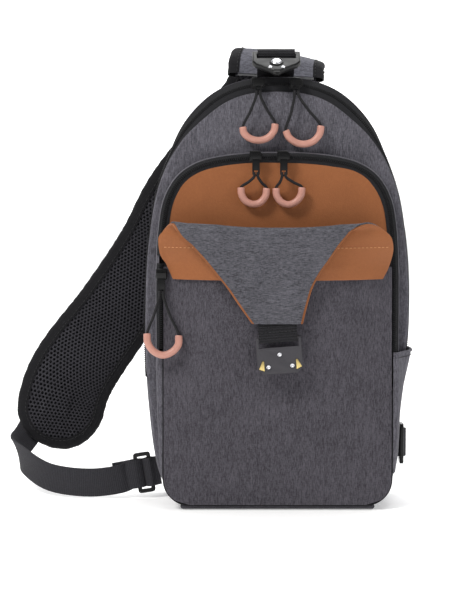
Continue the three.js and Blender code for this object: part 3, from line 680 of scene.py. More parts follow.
def tube(
    name: str, points: Sequence[Vector], radius: Callable[[float], float], sides: int = 12,
    turn: float = 10.0,
) -> Piece:
    """Makes a closed tube along points, its radius given at each share of the line.

    Args:
        name: the piece's name.
        points: the middle line in millimetres.
        radius: the radius for a share from 0 to 1.
        sides: how many sides the tube has.
        turn: what one turn round the tube measures across the cloth, in millimetres.

    Returns:
        The new piece, with its ends closed.
    """
    rings, side = [], None
    for k, point in enumerate(points):
        ahead = points[min(k + 1, len(points) - 1)] - points[max(k - 1, 0)]
        ahead.normalize()
        if side is None:
            side = ahead.orthogonal().normalized()
        side = (side - ahead * side.dot(ahead)).normalized()
        up = ahead.cross(side)
        reach = radius(k / (len(points) - 1))
        rings.append([point + (side * math.cos(a) + up * math.sin(a)) * reach
                      for a in (2 * math.pi * i / sides for i in range(sides))])
    flat = [p for ring in rings for p in ring]
    faces = []
    for r in range(len(rings) - 1):
        for i in range(sides):
            j = (i + 1) % sides
            faces.append((r * sides + i, r * sides + j, (r + 1) * sides + j, (r + 1) * sides + i))
    last = (len(rings) - 1) * sides
    faces.append(tuple(reversed(range(sides))))
    faces.append(tuple(last + i for i in range(sides)))
    made = from_parts(name, flat, faces)
    layer = made.data.uv_layers[UV_NAME]
    step = (points[1] - points[0]).length
    for number in range((len(rings) - 1) * sides):
        r, i = divmod(number, sides)
        corners = ((r, i), (r, i + 1), (r + 1, i + 1), (r + 1, i))
        for loop, (row, side_number) in zip(made.data.polygons[number].loop_indices, corners):
            layer.data[loop].uv = (row * step * MM, side_number / sides * turn * MM)
    return made


def many(
    name: str, spots: Iterable[tuple[Vector, Vector, Vector]], shape: Sequence[Vector],
    faces: Sequence[Sequence[int]],
) -> Piece:
    """Makes one piece of a small shape repeated at many spots.

    Args:
        name: the piece's name.
        spots: for each copy, its place, the way along it and the way out of the surface.
        shape: the shape's points, with x along, y across and z out.
        faces: the shape's faces.

    Returns:
        The new piece.
    """
    points, all_faces = [], []
    for place, along, out in spots:
        across = out.cross(along).normalized()
        out = along.cross(across).normalized()
        start = len(points)
        points += [place + along * p.x + across * p.y + out * p.z for p in shape]
        all_faces += [tuple(start + i for i in face) for face in faces]
    return from_parts(name, points, all_faces)


def stitch_row(
    name: str, line: Sequence[Vector], out: Facing, length: float = 2.6,
    gap: float = 1.1, radius: float = 0.42,
) -> Piece:
    """Makes a row of thread stitches along a line on a surface.

    Args:
        name: the piece's name.
        line: the seam's points in millimetres.
        out: the way out of the surface at a place.
        length: one stitch.
        gap: the space between two stitches.
        radius: half the thread's width.

    Returns:
        The new piece.
    """
    curve = Curve(line, fineness=6)
    count = max(2, int(curve.length / (length + gap)))
    spots = []
    for k in range(count):
        share = (k + 0.5) / count
        place = curve.at(share)
        spots.append((place, curve.along(share), out(place).normalized()))
    half = length / 2
    shape, faces = [], []
    for x, size in ((-half, 0.35), (-half * 0.6, 1.0), (half * 0.6, 1.0), (half, 0.35)):
        for a in range(6):
            turn = math.pi * a / 3
            lift = radius * 0.5 if size == 1.0 else -radius * 0.4
            shape.append(Vector((x, radius * size * math.cos(turn), lift + radius * size * math.sin(turn))))
    for r in range(3):
        for a in range(6):
            b = (a + 1) % 6
            faces.append((r * 6 + a, (r + 1) * 6 + a, (r + 1) * 6 + b, r * 6 + b))
    faces += [tuple(range(6)), tuple(reversed(range(18, 24)))]
    return many(name, spots, shape, faces)


class Workpiece:
    """A primitive shaped in edit mode by hand-tool steps, in millimetres about its own middle."""

    def __init__(self, name: str, start: str, extent: Place, **settings: object) -> None:
        """Adds the primitive and gives it its size.

        Args:
            name: the piece's name.
            start: "cube", "cylinder" or "uv_sphere".
            extent: its size along x, y and z in millimetres.
            settings: the primitive's own settings.
        """
        bpy.ops.object.select_all(action="DESELECT")
        getattr(bpy.ops.mesh, f"primitive_{start}_add")(**settings)
        self.thing = bpy.context.object
        self.thing.name = name
        bpy.ops.object.mode_set(mode="EDIT")
        bpy.context.tool_settings.mesh_select_mode = (False, False, True)
        bpy.ops.mesh.select_all(action="SELECT")
        bpy.ops.transform.resize(value=tuple(s * MM for s in extent), center_override=(0, 0, 0))

    def pick(self, test: Callable[[Vector, Vector], bool]) -> "Workpiece":
        """Selects the faces whose middle, in millimetres, and normal pass a test.

        Args:
            test: says whether a face is wanted, from its middle and its normal.

        Returns:
            The same workpiece.
        """
        mesh = bmesh.from_edit_mesh(self.thing.data)
        for part in (*mesh.verts, *mesh.edges, *mesh.faces):
            part.select_set(False)
        for face in mesh.faces:
            if test(face.calc_center_median() / MM, face.normal):
                face.select_set(True)
        bmesh.update_edit_mesh(self.thing.data)
        return self

    def inset(self, width: float, depth: float = 0.0) -> "Workpiece":
        """Insets the selected faces."""
        bpy.ops.mesh.inset(thickness=width * MM, depth=depth * MM)
        return self

    def extrude(self, x: float, y: float, z: float) -> "Workpiece":
        """Extrudes the selected faces along a way in millimetres."""
        bpy.ops.mesh.extrude_region_move(TRANSFORM_OT_translate={"value": (x * MM, y * MM, z * MM)})
        return self

    def resize(self, x: float, y: float, z: float) -> "Workpiece":
        """Scales what is selected about the piece's origin."""
        bpy.ops.transform.resize(value=(x, y, z), center_override=(0, 0, 0))
        return self

    def bevel(self, width: float, segments: int = 3, angle: float = 35.0) -> "Workpiece":
        """Leaves edit mode and rounds the edges that are sharper than an angle."""
        bpy.ops.object.mode_set(mode="OBJECT")
        apply(self.thing, "BEVEL", width=width * MM, segments=segments, limit_method="ANGLE",
              angle_limit=math.radians(angle), harden_normals=False)
        return self

    def place(self, matrix: Matrix) -> Piece:
        """Moves the mesh to its place, given in millimetres, and returns the piece."""
        if bpy.context.object and bpy.context.object.mode == "EDIT":
            bpy.ops.object.mode_set(mode="OBJECT")
        scale = Matrix.Scale(MM, 4)
        self.thing.data.transform(scale @ matrix @ scale.inverted())
        self.thing.data.update()
        return self.thing


def polished(node: str, name: str, width: float, finish: Finish, body: str) -> Piece:
    """Copies a hard node, merges its loose triangles and rounds its edges.

    Args:
        node: the node that the copy stands for.
        name: the new piece's name.
        width: the rounding's width in millimetres.
        finish: what it wears.
        body: the body that it moves with.

    Returns:
        The new piece.
    """
    mesh = frame["nodes"][node].data.copy()
    work = bmesh.new()
    work.from_mesh(mesh)
    bmesh.ops.remove_doubles(work, verts=work.verts, dist=1e-6)
    bmesh.ops.dissolve_limit(work, angle_limit=math.radians(4), verts=work.verts, edges=work.edges)
    work.to_mesh(mesh)
    work.free()
    thing = link(name, mesh)
    apply(thing, "BEVEL", width=width * MM, segments=3, limit_method="ANGLE",
          angle_limit=math.radians(28), use_clamp_overlap=True)
    return dress(thing, Wear(finish, body, (node,), 30.0))


# ---- the bag's outline and depths
UPPER_PROFILE = ((113, 205), (110, 236), (104.5, 268), (94, 300), (82, 326), (66.5, 345), (49, 358), (26, 366))
LEFT_PROFILE = ((78, 3.6), (92, 7.6), (102, 24), (107, 45), (111, 78), (113.5, 110), (114.3, 147))
RIGHT_PROFILE = ((78, 3.6), (91, 7.6), (101, 24), (103, 45), (104, 78), (107, 104), (111.5, 130), (113.6, 160))
ARCH_PROFILE = (
    (76, 5), (90, 9), (98.5, 24), (102, 60), (103.5, 100), (104, 150), (103.8, 208), (102, 240),
    (98.5, 261), (92, 276), (83, 287), (68, 296), (48, 301), (24, 303.6),
)
BAG_HEIGHT = 368.0
BACK_Y = 46.0
ARCH_TOP = 304.0
ZIP_END = 106.0
SIDE_ZIP = (140.0, 212.0)
PANEL_HALF = 95.0
PANEL_BOTTOM = 6.0
PANEL_TOP = 207.0
MOUTH_BULGE = 25.0
FOLD_Y = -64.0


def main_front(z: float) -> float:
    """Depth of the main compartment's front face at a height."""
    return lerp(-24, -12, z / 350)


def arch_front(z: float) -> float:
    """Depth of the front compartment's face at a height."""
    return lerp(-43, -26, z / ARCH_TOP)


def corner_inset(z: float) -> float:
    """How far the main compartment's front corner rounds in at a height."""
    return lerp(2.4, 12, smooth(z, 275, 358))


def zip_front(z: float) -> float:
    """Where the main zip lies at a height: 0 on the side of the bag, 1 on its front."""
    return smooth(z, 262, 345)


def side_at(profile: Sequence[Pair], z: float) -> float:
    """The half width of a side's profile at a height."""
    for (w0, z0), (w1, z1) in zip(profile, profile[1:]):
        if z0 <= z <= z1:
            return lerp(w0, w1, (z - z0) / (z1 - z0))
    return profile[-1][0]


class Outline:
    """A closed outline of the front view, evenly spaced, anticlockwise from the base's middle."""

    def __init__(self, right: Sequence[Pair], left: Sequence[Pair],
                 top: float, count: int) -> None:
        """Builds the line through both sides' half widths at their heights.

        Args:
            right: half widths and heights up the right side.
            left: the same up the left side.
            top: the height of the outline's top.
            count: how many points it gets.
        """
        knots = [(0, 0, right[0][1]), *[(w, 0, z) for w, z in right], (0, 0, top),
                 *[(-w, 0, z) for w, z in reversed(left)]]
        curve = Curve(knots, closed=True, fineness=16)
        self.points = [curve.at(k / count) for k in range(count)]
        self.ways = []
        for i in range(count):
            along = (self.points[(i + 2) % count] - self.points[i - 2]).normalized()
            self.ways.append(Vector((-along.z, 0, along.x)))

    def rim(self, i: int, inset: float, y: float) -> Vector:
        """A point of the outline moved in by an inset and set at a depth."""
        moved = self.points[i] + self.ways[i] * inset
        moved.y = y
        return moved

    def above(self, lowest_right: float, lowest_left: float) -> list[int]:
        """The numbers of the points above a height, in order along the arch."""
        return [i for i, p in enumerate(self.points) if p.z > (lowest_right if p.x > 0 else lowest_left)]


BODY = Outline((*RIGHT_PROFILE, *UPPER_PROFILE), (*LEFT_PROFILE, *UPPER_PROFILE), BAG_HEIGHT, 300)
ARCH = Outline(ARCH_PROFILE, ARCH_PROFILE, ARCH_TOP, 280)


def pocket_wall(x: float, z: float) -> float:
    """Depth of the stash pocket's inner face."""
    rise = MOUTH_BULGE * (min(z, PANEL_TOP) / PANEL_TOP) ** 1.5
    return arch_front(z) - 1.6 - rise * (1 - (min(PANEL_HALF, abs(x)) / PANEL_HALF) ** 2.6)


# ---- zips
@dataclass
class Zip:
    """A zip: two woven tapes with a chain of teeth between them."""

    name: str
    outline: Outline
    run: list[int]
    outer: Callable[[float], tuple[Pair, Pair]]
    inner: Callable[[float], tuple[Pair, Pair]]
    nodes: tuple[str, ...]
    pitch: float = 1.7
    thickness: float = 0.9
    tooth: float = 5.0
    height: float = 1.0

    def _tape(self, label: str, places: Callable[[float], tuple], nodes: tuple[str, ...]) -> None:
        """Makes one tape through the two edges that places gives at each height.

        Args:
            label: the end of the piece's name.
            places: gives both edges' inset and depth at a height.
            nodes: the nodes that it stands for.
        """
        rows = []
        for i in self.run:
            (inset_a, y_a), (inset_b, y_b) = places(self.outline.points[i].z)
            row = []
            for step in range(5):
                share = step / 4
                row.append(self.outline.rim(i, lerp(inset_a, inset_b, share), lerp(y_a, y_b, share)))
            rows.append(row)
        made = grid(f"{self.name}_{label}", rows, toward(0, -1, 0))
        thicken(made, self.thickness)
        dress(made, Wear(Finishes.tape, "bag", nodes))

    def _chain(self) -> None:
        """Makes the teeth that lie over the gap between the tapes."""
        line, outs = [], []
        for i in self.run:
            z = self.outline.points[i].z
            end_outer, start_inner = self.outer(z)[1], self.inner(z)[0]
            inset = (end_outer[0] + start_inner[0]) / 2
            y = (end_outer[1] + start_inner[1]) / 2
            line.append(self.outline.rim(i, inset, y))
            first, last = self.outer(z)[0], self.inner(z)[1]
            across = self.outline.ways[i] * (last[0] - first[0]) + Vector((0, last[1] - first[1], 0))
            along = Vector((-self.outline.ways[i].z, 0, self.outline.ways[i].x))
            out = along.cross(across).normalized()
            outs.append(out if out.dot(Vector((0, -1, 0)) - self.outline.ways[i]) > 0 else -out)
        curve = Curve(line, fineness=3)
        count = int(curve.length / self.pitch)
        spots = []
        for k in range(count):
            share = (k + 0.5) / count
            out = outs[int(share * (len(outs) - 1))]
            spots.append((curve.at(share) + out * 0.5, curve.along(share), out))
        wide, high, half = self.tooth / 2, self.height, self.pitch * 0.36
        shape = []
        for y, lift in ((-wide, -0.9), (-wide * 0.72, 0.25), (-0.5, high * 0.62),
                        (0.5, high * 0.62), (wide * 0.72, 0.25), (wide, -0.9)):
            shape += [Vector((-half, y, lift - 0.4)), Vector((-half * 0.5, y, lift)),
                      Vector((half * 0.5, y, lift)), Vector((half, y, lift - 0.4))]
        faces = []
        for r in range(5):
            for c in range(3):
                faces.append((r * 4 + c, r * 4 + c + 1, r * 4 + c + 5, r * 4 + c + 4))
            faces.append((r * 4 + 3, r * 4, r * 4 + 4, r * 4 + 7))
        faces += [(3, 2, 1, 0), (20, 21, 22, 23)]
        made = many(f"{self.name}_teeth", spots, shape, faces)
        outwards(made)
        dress(made, Wear(Finishes.chain, "bag"))

    def build(self) -> None:
        """Makes both tapes and the chain."""
        self._tape("tape_outer", self.outer, self.nodes[:1])
        self._tape("tape_inner", self.inner, self.nodes[1:])
        self._chain()


def outwards(thing: Piece) -> None:
    """Turns a closed piece's faces to point outwards."""
    work = bmesh.new()
    work.from_mesh(thing.data)
    bmesh.ops.recalc_face_normals(work, faces=work.faces)
    work.to_mesh(thing.data)
    work.free()


# ---- the main compartment
@dataclass
class MainCompartment:
    """The bag's body: gusset, front face, its arched zip, padded back and base."""

    cloth: float = 2.4
    gusset_back: float = 41.0
    gusset_turn: float = 1.0
    binding: float = 2.1
    channel: float = 7.0
    pad: float = 4.2

    def build(self) -> None:
        """Makes every piece of the compartment."""
        self._gusset()
        self._front()
        self._zip()
        self._back()
        self._base()
        self._inside()
        LOG.info("main compartment: gusset, front, zip, back, base and inside")

    def _gusset(self) -> None:
        """The wall that runs round the bag, with the soft sag of unfilled cloth."""
        rows = []
        for i, point in enumerate(BODY.points):
            below = 1 - smooth(point.z, ZIP_END - 4, ZIP_END + 10)
            row = []
            for step in range(15):
                share = step / 14
                y = lerp(self.gusset_back, self.gusset_turn, share)
                belly = math.sin(math.pi * share) * (0.8 + 0.9 * ripple(point, 60, 4.0))
                row.append(BODY.rim(i, -belly * 0.6, y))
            for step in range(1, 9):
                turn = math.pi / 2 * step / 8
                inset = corner_inset(point.z) + 0.8
                round_inset = inset * (1 - math.cos(turn))
                round_y = lerp(self.gusset_turn, main_front(point.z) + 0.2, math.sin(turn))
                straight_y = lerp(self.gusset_turn, -5.4, step / 8)
                row.append(BODY.rim(i, round_inset * below, lerp(straight_y, round_y, below)))
            rows.append(row)
        made = grid("gusset", rows, away_from(0, 184), loop=True)
        thicken(made, self.cloth)
        dress(made, Wear(Finishes.body, "bag", ("side_gusset",)))
        edge = [BODY.rim(i, 0.6, self.gusset_back + 0.8) for i in range(len(BODY.points))]
        edge.append(edge[0].copy())
        bound = tube("back_binding", edge, lambda _: self.binding, 10)
        dress(bound, Wear(Finishes.binding))

    def _front(self) -> None:
        """The heather face behind and above the front compartment, a little domed."""
        def depth(x: float, z: float) -> float:
            """Depth of the face with its dome and its soft waves."""
            dome = 2.6 * bump(x, 0, 70) * smooth(z, 296, 330) * (1 - smooth(z, 345, 366))
            wave = 0.7 * ripple(Vector((x, 0, z)), 34, 1.0) + 0.3 * ripple(Vector((x, 0, z)), 13, 2.0)
            edge = smooth(z, 280, 310)
            return main_front(z) - 0.2 - (dome + wave * edge)

        rim = [BODY.rim(i, corner_inset(p.z) + 1.0, 0) for i, p in enumerate(BODY.points)]
        filled = []
        for step in range(4):
            turn = math.pi / 2 * step / 4
            row = []
            for i, point in enumerate(BODY.points):
                share = max(zip_front(point.z), 1 - smooth(point.z, ZIP_END, ZIP_END + 12))
                front, last = main_front(point.z), corner_inset(point.z) + 1.0
                first = lerp(0.6, last - 0.5, share)
                edge = lerp(front + 2.8, front + 0.6, share)
                row.append(BODY.rim(i, lerp(first, last, 1 - math.cos(turn)),
                                    lerp(edge, depth(rim[i].x, rim[i].z), math.sin(turn))))
            filled.append(row)
        for r in range(27):
            share = r / 26
            row = []
            for point in rim:
                spot = point.lerp(Vector((0, 0, 184)), share * 0.985)
                spot.y = depth(spot.x, spot.z)
                row.append(spot)
            filled.append(row)
        made = grid("main_front", filled, toward(0, -1, 0), ring=True)
        close_pole(made)
        thicken(made, self.cloth)
        dress(made, Wear(Finishes.body, "bag", ("main_front_panel",)))

    def _zip(self) -> None:
        """The two-way zip round the top of the bag."""
        def outer(z: float) -> tuple[Pair, Pair]:
            """The outer tape's edges."""
            inset, front, share = corner_inset(z), main_front(z), zip_front(z)
            middle = lerp((front - 3) / 2, lerp(-6.8, front, 0.62) - 0.2, share)
            return ((lerp(0.1, 0.4, share), lerp(-5.9, -6.4, share)),
                    (lerp(0.1, inset * 0.5 - 0.7, share), middle))

        def inner(z: float) -> tuple[Pair, Pair]:
            """The inner tape's edges."""
            inset, front, share = corner_inset(z), main_front(z), zip_front(z)
            middle = lerp((front - 3) / 2 - 0.8, lerp(-6.8, front, 0.62) - 0.6, share)
            end = (lerp(0.2, inset + 1.2, share), lerp(front + 2.4, front - 0.5, share))
            return (lerp(0.1, inset * 0.5 + 0.7, share), middle), end

        run = BODY.above(ZIP_END + 2, ZIP_END + 2)
        Zip("main_zip", BODY, run, outer, inner, ("main_zip",), tooth=3.4, height=0.6).build()

    def _back(self) -> None:
        """The back, padded in panels with sewn channels between them."""
        def depth(x: float, z: float) -> float:
            """Depth of the padding, dented at its channels."""
            middle = bump(x, 0, self.channel)
            rows = sum(bump(z, level + 0.0009 * x * x, self.channel * 0.72) for level in (96, 176, 256))
            dent = min(1.0, middle + rows * smooth(abs(x), 10, 22))
            return BACK_Y - 1.6 + self.pad * (1 - dent)

        rows = []
        for r in range(44):
            share = r / 43
            row = []
            for i, point in enumerate(BODY.points):
                spot = BODY.rim(i, 1.2, 0).lerp(Vector((0, 0, 184)), share * 0.985)
                rise = smooth(share, 0, 0.09)
                spot.y = lerp(self.gusset_back + 0.8, depth(spot.x, spot.z), math.sqrt(rise))
                row.append(spot)
            rows.append(row)
        made = grid("back_padding", rows, toward(0, 1, 0), ring=True)
        close_pole(made)
        thicken(made, 1.6)
        dress(made, Wear(Finishes.mesh, "bag", ("back_panel",)))

    def _base(self) -> None:
        """The flat base with its bound edge."""
        work = Workpiece("base", "cube", (166, 84, 4.6), size=1)
        work.pick(lambda place, normal: normal.z > 0.9).inset(9, 0.0)
        work.pick(lambda place, normal: normal.z < -0.9).inset(6, -0.4)
        bpy.ops.object.mode_set(mode="OBJECT")
        apply(work.thing, "BEVEL", width=14 * MM, segments=6, limit_method="ANGLE",
              angle_limit=math.radians(80), affect="EDGES", use_clamp_overlap=True)
        work.bevel(0.5, 2)
        made = work.place(Matrix.Translation((0, -3, 2.3)))
        dress(made, Wear(Finishes.base, "bag", ("base_panel",)))

    def _inside(self) -> None:
        """The foam of the back and the padded sleeve, which lie inside."""
        for node in ("back_foam", "tablet_sleeve"):
            material = (Finishes.foam if node == "back_foam" else Finishes.body).material()
            thing = frame["nodes"][node]
            thing.data.materials.clear()
            thing.data.materials.append(material)


POLE_REACH = 12 * MM


def close_pole(thing: Piece) -> None:
    """Closes the small hole that a filled outline leaves at its middle.

    Args:
        thing: the piece, with its hole's edge within POLE_REACH of the nearest point to the middle.
    """
    work = bmesh.new()
    work.from_mesh(thing.data)
    count = len(work.verts)
    work.verts.ensure_lookup_table()
    edges = [e for e in work.edges if e.is_boundary]
    middle = sum((v.co for v in work.verts), Vector()) / count
    near = min((v.co - middle).length for e in edges for v in e.verts)
    inner = [e for e in edges if all((v.co - middle).length < near + POLE_REACH for v in e.verts)]
    bmesh.ops.holes_fill(work, edges=inner, sides=0)
    work.to_mesh(thing.data)
    work.free()


# ---- the front compartment
@dataclass
class FrontCompartment:
    """The shallow compartment on the front: gusset, zips, tan organiser and the stash pocket."""

    cloth: float = 2.4
    organiser_inset: float = 8.4
    piping: float = 0.95
    corner: float = 22.0

    def build(self) -> None:
        """Makes every piece of the compartment."""
        self._gusset()
        self._zips()
        self._organiser()
        self._pocket()
        self._piping()
        self._side_pocket()
        LOG.info("front compartment: gusset, zips, organiser, pocket, piping and side pocket")

    def _gusset(self) -> None:
        """The narrow wall between the main face and the arch's zip."""
        rows = []
        for i, point in enumerate(ARCH.points):
            back, front = main_front(point.z) - 0.5, arch_front(point.z) + 1.0
            row = []
            for step in range(9):
                share = step / 8
                swell = 0.7 * math.sin(math.pi * share)
                row.append(ARCH.rim(i, lerp(0, 1.0, share) - swell, lerp(back, front, share)))
            row.append(ARCH.rim(i, 2.6, front - 0.6))
            rows.append(row)
        made = grid("front_gusset_wall", rows, away_from(0, 150), loop=True)
        thicken(made, 1.6)
        dress(made, Wear(Finishes.body, "bag", ("front_gusset",)))

    def _zips(self) -> None:
        """The arch's two-way zip and the short side zip below its left leg."""
        def outer(z: float) -> tuple[Pair, Pair]:
            """The outer tape's edges."""
            y = arch_front(z)
            return (0.8, y + 0.6), (4.0, y - 1.0)

        def inner(z: float) -> tuple[Pair, Pair]:
            """The inner tape's edges."""
            y = arch_front(z)
            return (5.2, y - 1.2), (9.4, y - 0.4)

        run = ARCH.above(ZIP_END, SIDE_ZIP[1] + 2)
        Zip("arch_zip", ARCH, run, outer, inner, ("arch_zip_tape_outer", "arch_zip_tape_inner"),
            tooth=4.2).build()
        side = [i for i, p in enumerate(ARCH.points)
                if p.x < 0 and SIDE_ZIP[0] - 6 < p.z < SIDE_ZIP[1] + 1]
        Zip("side_zip", ARCH, side, outer, inner, ("side_zip",), tooth=4.2).build()
        rest = [i for i, p in enumerate(ARCH.points) if p.z <= (ZIP_END if p.x > 0 else SIDE_ZIP[0] - 6)]
        split = max(range(len(rest)), key=lambda k: rest[k] - rest[k - 1] if k else 0)
        order = rest[split:] + rest[:split]
        rows = []
        for i in order:
            y = arch_front(ARCH.points[i].z)
            rows.append([ARCH.rim(i, inset, y + dy) for inset, dy in
                         ((0.8, 0.7), (2.6, -0.7), (5.0, -1.1), (7.4, -0.9), (9.6, -0.3))])
        made = grid("lower_edge_tape", rows, toward(0, -1, 0))
        thicken(made, 1.2)
        dress(made, Wear(Finishes.body))

    def _organiser(self) -> None:
        """The tan leather panel inside the arch, behind the stash pocket."""
        def depth(x: float, z: float) -> float:
            """Depth of the panel, a little full in the middle."""
            full = 1.6 * bump(x, 0, 60) * smooth(z, 200, 250) * (1 - smooth(z, 270, 300))
            wave = 0.55 * ripple(Vector((x, 0, z)), 40, 7.0)
            return arch_front(z) + 0.2 - full - wave

        rows = []
        for r in range(24):
            share = r / 23
            row = []
            for i in range(len(ARCH.points)):
                spot = ARCH.rim(i, self.organiser_inset, 0).lerp(Vector((0, 0, 154)), share * 0.985)
                spot.y = depth(spot.x, spot.z)
                row.append(spot)
            rows.append(row)
        made = grid("organiser", rows, toward(0, -1, 0), ring=True)
        close_pole(made)
        thicken(made, 1.8)
        dress(made, Wear(Finishes.leather, "bag", ("organiser_panel",)))

    @staticmethod
    def folds(x: float, z: float) -> float:
        """Soft folds of the pocket's front: two that fall from the flap's corners, and small waves."""
        left = bump((x + 47) * 0.66 + (z - 181) * 0.75, 0, 9) * bump((x + 47) * 0.75 - (z - 181) * 0.66, 0, 32)
        right = bump((52 - x) * 0.66 + (z - 180) * 0.75, 0, 9) * bump((x - 52) * 0.75 + (z - 180) * 0.66, 0, 30)
        low = bump((x + 24) * 0.3 + (z - 62) * 0.9, 0, 12) * bump(x, -30, 44)
        high = bump((x - 30) * 0.35 - (z - 92) * 0.9, 0, 12) * bump(x, 30, 44)
        waves = ripple(Vector((x, 0, z)), 36, 9.0) * 0.9 + ripple(Vector((x, 0, z)), 15, 5.0) * 0.35
        return 4.4 * left + 3.4 * right + 1.2 * low + 1.1 * high + waves

    def front_face(self, x: float, z: float) -> float:
        """Depth of the pocket's outer face."""
        hold = smooth(PANEL_HALF - abs(x), 0, 16) * smooth(z, PANEL_BOTTOM, 26)
        near_band = 1 - smooth(z, 188, 200)
        return pocket_wall(x, z) - self.cloth - self.folds(x, z) * hold * lerp(0.15, 1, near_band)

    def _pocket(self) -> None:
        """The heather front of the stash pocket, its lower corners rounded."""
        corner = self.corner
        rows = []
        for r in range(81):
            z = lerp(PANEL_BOTTOM - 1.9, PANEL_TOP, (r / 80) ** 0.9)
            drop = max(0.0, corner - (z - (PANEL_BOTTOM - 1.9)))
            half = PANEL_HALF + 2.1 - (corner - math.sqrt(max(0.0, corner**2 - drop**2)))
            rows.append([Vector((x, self.front_face(x, z), z))
                         for x in (lerp(-half, half, c / 72) for c in range(73))])
        made = grid("pocket_front", rows, toward(0, -1, 0))
        thicken(made, self.cloth)
        dress(made, Wear(Finishes.front, "bag", ("pocket_panel",)))

    def _piping(self) -> None:
        """The thin cord that is sewn round the pocket's sides and bottom."""
        x, z, corner = PANEL_HALF + 2.2, PANEL_BOTTOM - 1.9, self.corner

        def at(px: float, pz: float) -> tuple[float, float, float]:
            """A point of the piping."""
            return (px, arch_front(pz) - 2.6, pz)

        turns = [math.pi / 2 * k / 6 for k in range(7)]
        knots = [at(-x, SIDE_ZIP[0] - 4), at(-x, 70)]
        knots += [at(-x + corner - corner * math.cos(a), z + corner - corner * math.sin(a)) for a in turns]
        knots.append(at(0, z))
        knots += [at(x - corner + corner * math.sin(a), z + corner - corner * math.cos(a)) for a in turns]
        knots += [at(x, 70), at(x, ZIP_END - 4)]
        line = Curve(knots).spread(180)
        made = tube("pocket_piping", line, lambda _: self.piping, 10)
        dress(made, Wear(Finishes.binding, "bag", ("panel_piping",)))

    def _side_pocket(self) -> None:
        """The stretch pocket on the right side, from the piping's seam back over the step."""
        bottom, top = 30.0, 134.0
        rows = []
        for r in range(45):
            z = lerp(bottom, top, r / 44)
            rise = lerp(0.3, 1, (z - bottom) / (top - bottom))
            lift = lerp(0.4, 1.3, smooth(z, bottom, bottom + 16))
            front, near, far = arch_front(z), side_at(ARCH_PROFILE, z), side_at(RIGHT_PROFILE, z)
            line = Curve([
                (98.6, front - 1.4 - lift, z), (near - 1.0, front - 0.9 - lift, z),
                (near + lift + 0.4, front + 3.4, z), (lerp(near, far, 0.5) + lift + 0.8, front + 10, z),
                (far + lift + 1.6 * rise, -17, z), (far + lift + 3.0 * rise, 0, z), (far + lift, 19, z),
            ], fineness=10)
            row = line.spread(49)
            for c, point in enumerate(row):
                gather = 0.45 * math.sin(c / len(row) * 40 + 1.2 * math.sin(z / 9)) * smooth(z, 96, 132)
                point.x += gather * math.sin(math.pi * c / (len(row) - 1))
            rows.append(row)
        made = grid("side_pocket_cloth", rows, toward(1, 0, 0))
        thicken(made, 1.1)
        dress(made, Wear(Finishes.body, "bag", ("side_pocket",)))
        hem = [p + Vector((0.1, 0, -0.6)) for p in rows[-1]]
        made = tube("side_pocket_hem", hem, lambda s: 1.1 * math.sin(math.pi * min(1, max(0.03, s))) ** 0.3, 12)
        dress(made, Wear(Finishes.body))
        line = [p + Vector((0.3, 0, 0)) for p in rows[-3]]
        seam = stitch_row("side_pocket_stitches", line, toward(1, 0, 0), 2.2, 1.0, 0.3)
        dress(seam, Wear(Finishes.thread_black))


# ---- the flap
def area_of(rows: Sequence[Sequence[Vector]]) -> float:
    """The area of a sheet's rows of points, from millimetres to square metres."""
    total = 0.0
    for row, following in zip(rows, rows[1:]):
        for c in range(len(row) - 1):
            a, b, d, e = row[c], row[c + 1], following[c + 1], following[c]
            total += ((b - a).cross(e - a).length + (b - d).cross(e - d).length) / 2
    return total * MM * MM


